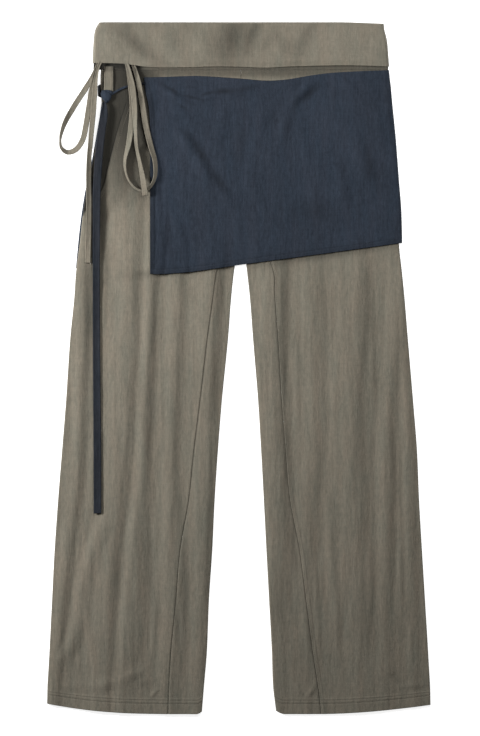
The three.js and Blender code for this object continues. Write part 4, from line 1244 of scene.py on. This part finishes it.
def smooth_route(route, spacing):
    """Points at even spacing on a smooth curve through the route's places, one row per point.

    Between two places it is a cubic. Its slopes come from the places before and after, weighed by
    the square roots of the gaps. The further columns change evenly between places.
    """
    rows = np.array([(*row, *[0] * (5 - len(row))) for row in route], float)
    place = rows[:, :2]
    place = np.vstack([2 * place[0] - place[1], place, 2 * place[-1] - place[-2]])
    gap = np.sqrt(np.linalg.norm(np.diff(place, axis=0), axis=1))[:, None]
    before, here, there, after = place[:-3], place[1:-2], place[2:-1], place[3:]
    g0, g1, g2 = gap[:-2], gap[1:-1], gap[2:]
    leave = ((here - before) / g0 - (there - before) / (g0 + g1) + (there - here) / g1) * g1
    arrive = ((there - here) / g1 - (after - here) / (g1 + g2) + (after - there) / g2) * g1
    s = np.linspace(0, 1, ROUTE_STEPS + 1)[None, :-1, None]
    line = ((2 * s**3 - 3 * s**2 + 1) * here[:, None] + (3 * s**2 - 2 * s**3) * there[:, None]
            + (s**3 - 2 * s**2 + s) * leave[:, None] + (s**3 - s**2) * arrive[:, None])
    line = np.vstack([line.reshape(-1, 2), place[-2]])
    share = np.arange(len(line)) / ROUTE_STEPS
    travelled = np.concatenate([[0], np.cumsum(np.linalg.norm(np.diff(line, axis=0), axis=1))])
    even = np.linspace(0, travelled[-1], int(np.ceil(travelled[-1] / spacing)) + 1)
    at = np.interp(even, travelled, share)
    columns = [np.interp(even, travelled, line[:, k]) for k in (0, 1)]
    columns += [np.interp(at, np.arange(len(rows)), rows[:, k]) for k in (2, 3, 4)]
    return np.stack(columns, 1)


def softened(values, count):
    """The greatest of the values within count places, then their running mean: never below them."""
    padded = np.pad(values, 2 * count, mode="edge")
    window = np.lib.stride_tricks.sliding_window_view(padded, 2 * count + 1).max(1)
    return np.lib.stride_tricks.sliding_window_view(window, 2 * count + 1).mean(1)


def ribbon_top(ribbon, x, y):
    """Height of another ribbon's upper side at a place, or 0 beside it."""
    line, half = ribbon["line"], ribbon["half"]
    off = np.hypot(x[..., None] - line[:, 0], y[..., None] - line[:, 1])
    height = np.where(off < half, line[:, 2] + ribbon["rise"], 0)
    return height.max(-1)


def tie(name, width, route, ground, cotton, thick=TIE_THICK, under=(), reach=5, seed=1,
        shaded=None):
    """A flat tie along a route of (x, y, lift, turn, slim). Gives the piece and its form.

    Its section lies across the path, turned about it by turn degrees. Where it is slim its sides
    curl up into a gutter. It rests on the highest thing under its width: the ground and the forms
    of the ties under it. shaded gives its cloth's painted shade from the places along it.
    """
    rows = smooth_route(route, TIE_STEP)
    x, y, raised, turn, slim = rows.T
    ahead = np.gradient(rows[:, :2], axis=0)
    ahead /= np.linalg.norm(ahead, axis=1, keepdims=True)
    side = np.stack([ahead[:, 1], -ahead[:, 0]], 1)
    half = width / 2 * (1 - slim)
    turn = np.radians(turn)
    tops = [ground, *[lambda a, b, form=form: ribbon_top(form, a, b) for form in under]]
    rest = np.max([highest_near(top, x + k * side[:, 0] * half, y + k * side[:, 1] * half, reach)
                   for top in tops for k in (-1, 0, 1)], 0)
    room = half * np.abs(np.sin(turn)) + thick / 2 * np.abs(np.cos(turn))
    z = softened(rest, TIE_SOFTENED) + GAP + raised + room
    flat = np.column_stack([side * np.cos(turn)[:, None], np.sin(turn)])
    normal = np.column_stack([-side * np.sin(turn)[:, None], np.cos(turn)])
    u = np.linspace(-1, 1, 11)
    gutter = np.sqrt(np.clip(1 - (1 - slim) ** 2, 0, 1)) * width * GUTTER_DEPTH
    height, length = TIE_WAVE
    travelled = np.arange(len(x))[:, None] * TIE_STEP
    hollow = gutter[:, None] * (np.abs(u) ** GUTTER_POWER - GUTTER_MEAN)
    hollow = hollow + height * ripple(travelled, u * width, length, width, seed)
    hollow = hollow + ridge(np.abs(u) - SEWN_AT, SEWN_EDGE, SEWN_WIDE)
    centre = np.stack([x, y, z], 1)
    middle = (centre[:, None] + flat[:, None] * (u * half[:, None])[..., None]
              + normal[:, None] * hollow[..., None])
    shade = shaded(x, y)[:, None] if shaded else 0 * x[:, None]
    piece = cloth_wall(name, middle, cotton, thick=thick, shade=shade)
    return piece, {"line": centre, "half": width / 2 + BESIDE_TIE, "rise": thick / 2 + BESIDE_TIE}


def limp_cord(form):
    """Works out a tie's path in metres from its form, and does nothing more with it."""
    path = form["line"] * MM


# A knot's groove winds round it and along it by these turns
KNOT_TURNS = 3
KNOT_TWIST = 5


def knot(name, cotton, centre, size, grooves, narrow=0.0, power=1.0, phase=0):
    """A closed round form: a sphere drawn out to its size and narrower towards -Y.

    A power under 1 makes its ends blunter. Grooves are a sine that winds round it, as where a
    strip of cloth is tied over itself.
    """
    v, u = np.meshgrid(
        np.linspace(0, np.pi, 26)[1:-1], np.linspace(0, 2 * np.pi, 41)[:-1], indexing="ij")
    unit = np.stack([np.sin(v) * np.cos(u), np.cos(v), np.sin(v) * np.sin(u)], -1)
    wound = 1 - grooves * (0.5 + 0.5 * np.sin(KNOT_TURNS * u + KNOT_TWIST * v + phase)) ** 3
    form = unit * wound[..., None]
    form[..., 1] = np.sign(form[..., 1]) * np.abs(form[..., 1]) ** power
    form[..., 0] *= mix(1 - narrow, 1, (unit[..., 1] + 1) / 2)
    rings, around = v.shape
    points = np.concatenate([form.reshape(-1, 3), [[0, 1, 0], [0, -1, 0]]]) * np.array(size) / 2
    number = np.arange(rings * around).reshape(rings, around)
    after = np.roll(number, -1, 1)
    quads = np.stack([number[:-1], number[1:], after[1:], after[:-1]], -1).reshape(-1, 4)
    top = np.stack([np.full(around, rings * around), number[0], after[0]], -1)
    end = np.stack([np.full(around, rings * around + 1), after[-1], number[-1]], -1)
    piece = add_piece(name + "_cloth", points + centre, quads, cotton, np.concatenate([top, end]))
    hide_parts(name)


# Painted shadow on the front strand, which rises between these places across
STRAND_SHADE = 0.85
STRAND_SHADE_RISES = (-178, -168)


def strand_shade(x, y):
    """Painted shadow: the front strand is darkened where it leaves the apron's corner."""
    return STRAND_SHADE * smooth(x, *STRAND_SHADE_RISES)


knot("apron_knot", navy_cotton, (-204.6, 420.5, 7.4), (28.5, 21, 5.8), grooves=0.22, narrow=0.85,
     power=0.7)

front_strand, front_strand_form = tie("apron_tie_front", NAVY_STRAND_WIDTH, [
    (-144, 441, 0, 0, 0.1), (-156, 440, 0, 0, 0.25), (-171.7, 436.6, 0, 0, 0.25),
    (-184, 431.8, 0.4, 0, 0.3), (-196.6, 424.6, 1.2, 0, 0.2),
], trousers_top, navy_cotton, thick=STRAND_THICK, seed=5, shaded=strand_shade)

# The back strand's path from the apron's back up to the knot: (place across, height over the
# table, share of the way in that its edges are drawn). They draw in by these distances
BACK_STRAND = [
    (-212.4, HALF, 0), (-214.6, HALF, 0.15), (-216.6, 1.1, 0.3), (-217.7, 2.2, 0.5),
    (-217.9, 3.3, 0.65), (-217.7, 4.4, 0.8), (-217.2, 5.5, 0.9), (-216.4, 6.4, 1),
]
BACK_STRAND_TOP = 441
BACK_STRAND_BOTTOM = 419
DRAWN_DOWN = 6
DRAWN_UP = 5

strand_x, strand_z, drawn = np.array(BACK_STRAND).T[..., None]
strand_y = mix(BACK_STRAND_TOP - DRAWN_DOWN * drawn, BACK_STRAND_BOTTOM + DRAWN_UP * drawn,
               np.linspace(0, 1, 12))
strand_points = np.stack(np.broadcast_arrays(strand_x, strand_y, strand_z), -1)
cloth_wall("apron_tie_back", strand_points, navy_tie)

navy_tail, navy_tail_form = tie("apron_tie_tail", NAVY_TIE_WIDTH, [
    (-208.5, 412.5, 2.4, 0, 0.62), (-207.8, 404, 4.2, 0, 0.3), (-208.6, 392, 5), (-212, 369, 5.5),
    (-216.4, 327, 5), (-219.5, 280, 4), (-220.3, 220, 2.2, 0, 0.05), (-220.6, 160, 1, 0, 0.08),
    (-220.5, 59, 0, 0, 0.06), (-219.7, -49, 0, 0, 0.04), (-219, -142, 0, 0, 0.02),
    (-218.8, -225, 0, 0, 0.02),
], trousers_top, navy_tie, seed=7)
limp_cord(front_strand_form)
limp_cord(navy_tail_form)


# Drawstring
# A narrow tie of the trousers' cotton, tied in a bow inside the fold of the waistband. Its two
# loops and two cut ends come out below the band.
DRAWSTRING_WIDTH = 8.5
knot("drawstring_knot", taupe_cotton, (KNOT_X, KNOT_Y, 6.5), (24, 17, 4), grooves=0.2, phase=2)

LOOP_RIGHT = [
    (-208.2, 497, 0, 0, 0.5), (-215.5, 482, 0, 0, 0.6), (-219.2, 471, 0, 0, 0.6),
    (-224, 457.6, 3.0, 0, 0.35), (-236.8, 434.3, 1.5), (-256.9, 403.3, 0, 10),
    (-270.9, 377, 0, 45), (-276.6, 353.7, 0, 78), (-274.7, 341.3, 0, 60), (-265.4, 334.3, 0, 35),
    (-252.3, 339, 0, 15), (-242.2, 353.7), (-236.8, 377), (-232.6, 403.3), (-228.4, 428, 2.5),
    (-223.4, 452, 4.4, 0, 0.35), (-219, 471, LAYER, 0, 0.6), (-215.2, 482, LAYER, 0, 0.6),
    (-208, 494, LAYER, 0, 0.55),
]
TAIL_RIGHT = [
    (-203.5, 486.5, 0, 0, 0.5), (-209, 480, 0, 0, 0.5), (-216.4, 468, 0, 0, 0.5),
    (-220.8, 450, 0.5, 0, 0.3), (-222.5, 432, 1, 0, 0.1), (-224.8, 404),
    (-228.6, 362, 0, 0, 0.1), (-231.6, 330, 0, 20, 0.1), (-232.6, 300, 0, 25),
    (-232.2, 253, 0.8, 20, 0.05), (-232.9, 206, 0, 10), (-234, 163),
]
LOOP_LEFT_SIDE = [
    (-182.4, 499, 0, 0, 0.45), (-172, 487, 0, 0, 0.4), (-165, 473, 0, 0, 0.35),
    (-156.3, 447, 1.4, 0, 0.1), (-150, 414, 0.6), (-144.4, 378), (-137, 346, 0, 20),
    (-129.6, 318, 0, 35, 0.1), (-130.4, 294.8, 0, 45, 0.25), (-136.8, 281.5, 0, 45, 0.35),
    (-145.3, 275.5, 0, 45, 0.5), (-157.7, 277.5, 0, 45, 0.55), (-168.6, 288.6, 0, 55, 0.5),
    (-174.8, 304.1, 0, 58, 0.35), (-175.8, 322.7, 0, 50, 0.2), (-170.6, 346, 0, 25), (-167.2, 370),
    (-164.6, 402), (-166.8, 434), (-172.6, 467, 0, 0, 0.35), (-176, 482, 0, 0, 0.45),
    (-182.4, 492.5, 0, 0, 0.5),
]
TAIL_LEFT = [
    (-184.6, 487.3, 0, 0, 0.5), (-177.5, 480, 0, 0, 0.4), (-172.4, 468, 0, 0, 0.3),
    (-164.6, 436), (-161.2, 402, 0, -10), (-159.8, 372.3, 0, -40, 0.2),
    (-157.6, 341.3, 0, -40, 0.3), (-153.6, 321.2, 0.4, -35, 0.25), (-149.4, 299.5, 0.8, -20, 0.05),
    (-145.6, 276.2, 1.0, -8), (-144.4, 266.9, 0.8),
]

# Inside the fold of the band, things rest on the band's inner layer between these sides
IN_BAND = (-222, 229)


def garment_top(x, y):
    """Height of the trousers, of the apron's front where it covers them, or of the band inside."""
    height = trousers_top(x, y)
    left, right = curve(APRON_FRONT_LEFT, y), curve(APRON_FRONT_RIGHT, y)
    covered = (x > left) & (x < right) & (y < curve(APRON_TOP, x)) & (y > curve(APRON_HEM, x))
    height = np.where(covered, apron_rest(x, y) + CLOTH, height)
    in_band = (y >= WAIST_SEAM) & (x > IN_BAND[0]) & (x < IN_BAND[1])
    return np.where(in_band, 2 * LAYER + CLOTH, height)


def drawstring(name, route, length, far_end, **more):
    """A loop or a free end of the drawstring. Gives its form."""
    piece, form = tie(name, DRAWSTRING_WIDTH, route, garment_top, taupe_cotton, **more)
    limp_cord(form)
    return form


right_form = drawstring("drawstring_loop_right", LOOP_RIGHT, 0.365, "object", seed=13)
drawstring("drawstring_tail_right", TAIL_RIGHT, 0.330, "bare", under=[right_form], reach=3, seed=17)
left_form = drawstring("drawstring_loop_left", LOOP_LEFT_SIDE, 0.479, "object",
                       under=[front_strand_form], seed=19)
drawstring("drawstring_tail_left", TAIL_LEFT, 0.230, "bare", under=[front_strand_form, left_form],
           reach=4, seed=23)


# Table and light
# A plain white table, one soft light low on the upper left and soft light from all round.
TABLE_EDGE = 4.0
TABLE_HEIGHT = -0.0002
TABLE_GLOW = 0.8
ALL_ROUND = 0.10
LIGHT_AIM = (-0.02, 0.1, 0.0)

table_mesh = bpy.data.meshes.new("table")
table_mesh.from_pydata([
    (-TABLE_EDGE, -TABLE_EDGE, TABLE_HEIGHT), (TABLE_EDGE, -TABLE_EDGE, TABLE_HEIGHT),
    (TABLE_EDGE, TABLE_EDGE, TABLE_HEIGHT), (-TABLE_EDGE, TABLE_EDGE, TABLE_HEIGHT),
], [], [(0, 1, 2, 3)])
table = bpy.data.objects.new("table", table_mesh)
bpy.context.scene.collection.objects.link(table)
white = ClothShader("white_table")
table_surface = white.node("ShaderNodeBsdfPrincipled", None, {
    "Base Color": (0.88, 0.88, 0.88, 1), "Roughness": 0.9, "Specular IOR Level": 0.1,
    "Emission Color": (1, 1, 1, 1), "Emission Strength": TABLE_GLOW})
white.node("ShaderNodeOutputMaterial", None, {"Surface": table_surface})
table_mesh.materials.append(white.material)

world = bpy.data.worlds.new("studio")
world.use_nodes = True
world.node_tree.nodes["Background"].inputs["Color"].default_value = (1, 1, 1, 1)
world.node_tree.nodes["Background"].inputs["Strength"].default_value = ALL_ROUND
bpy.context.scene.world = world


def studio_light(name, place, size, power):
    """A round soft light of a size in metres and a power in watts, aimed at the garment."""
    light = bpy.data.lights.new(name, "AREA")
    light.shape = "DISK"
    light.size = size
    light.energy = power
    lamp = bpy.data.objects.new(name, light)
    lamp.location = place
    lamp.rotation_euler = (Vector(LIGHT_AIM) - Vector(place)).to_track_quat("-Z", "Y").to_euler()
    bpy.context.scene.collection.objects.link(lamp)


studio_light("key", (-1.5, 0.4, 0.7), 0.4, 39.5)
studio_light("fill", (0.4, 0.7, 0.9), 1.0, 8.7)

bpy.context.scene.view_settings.view_transform = "Standard"
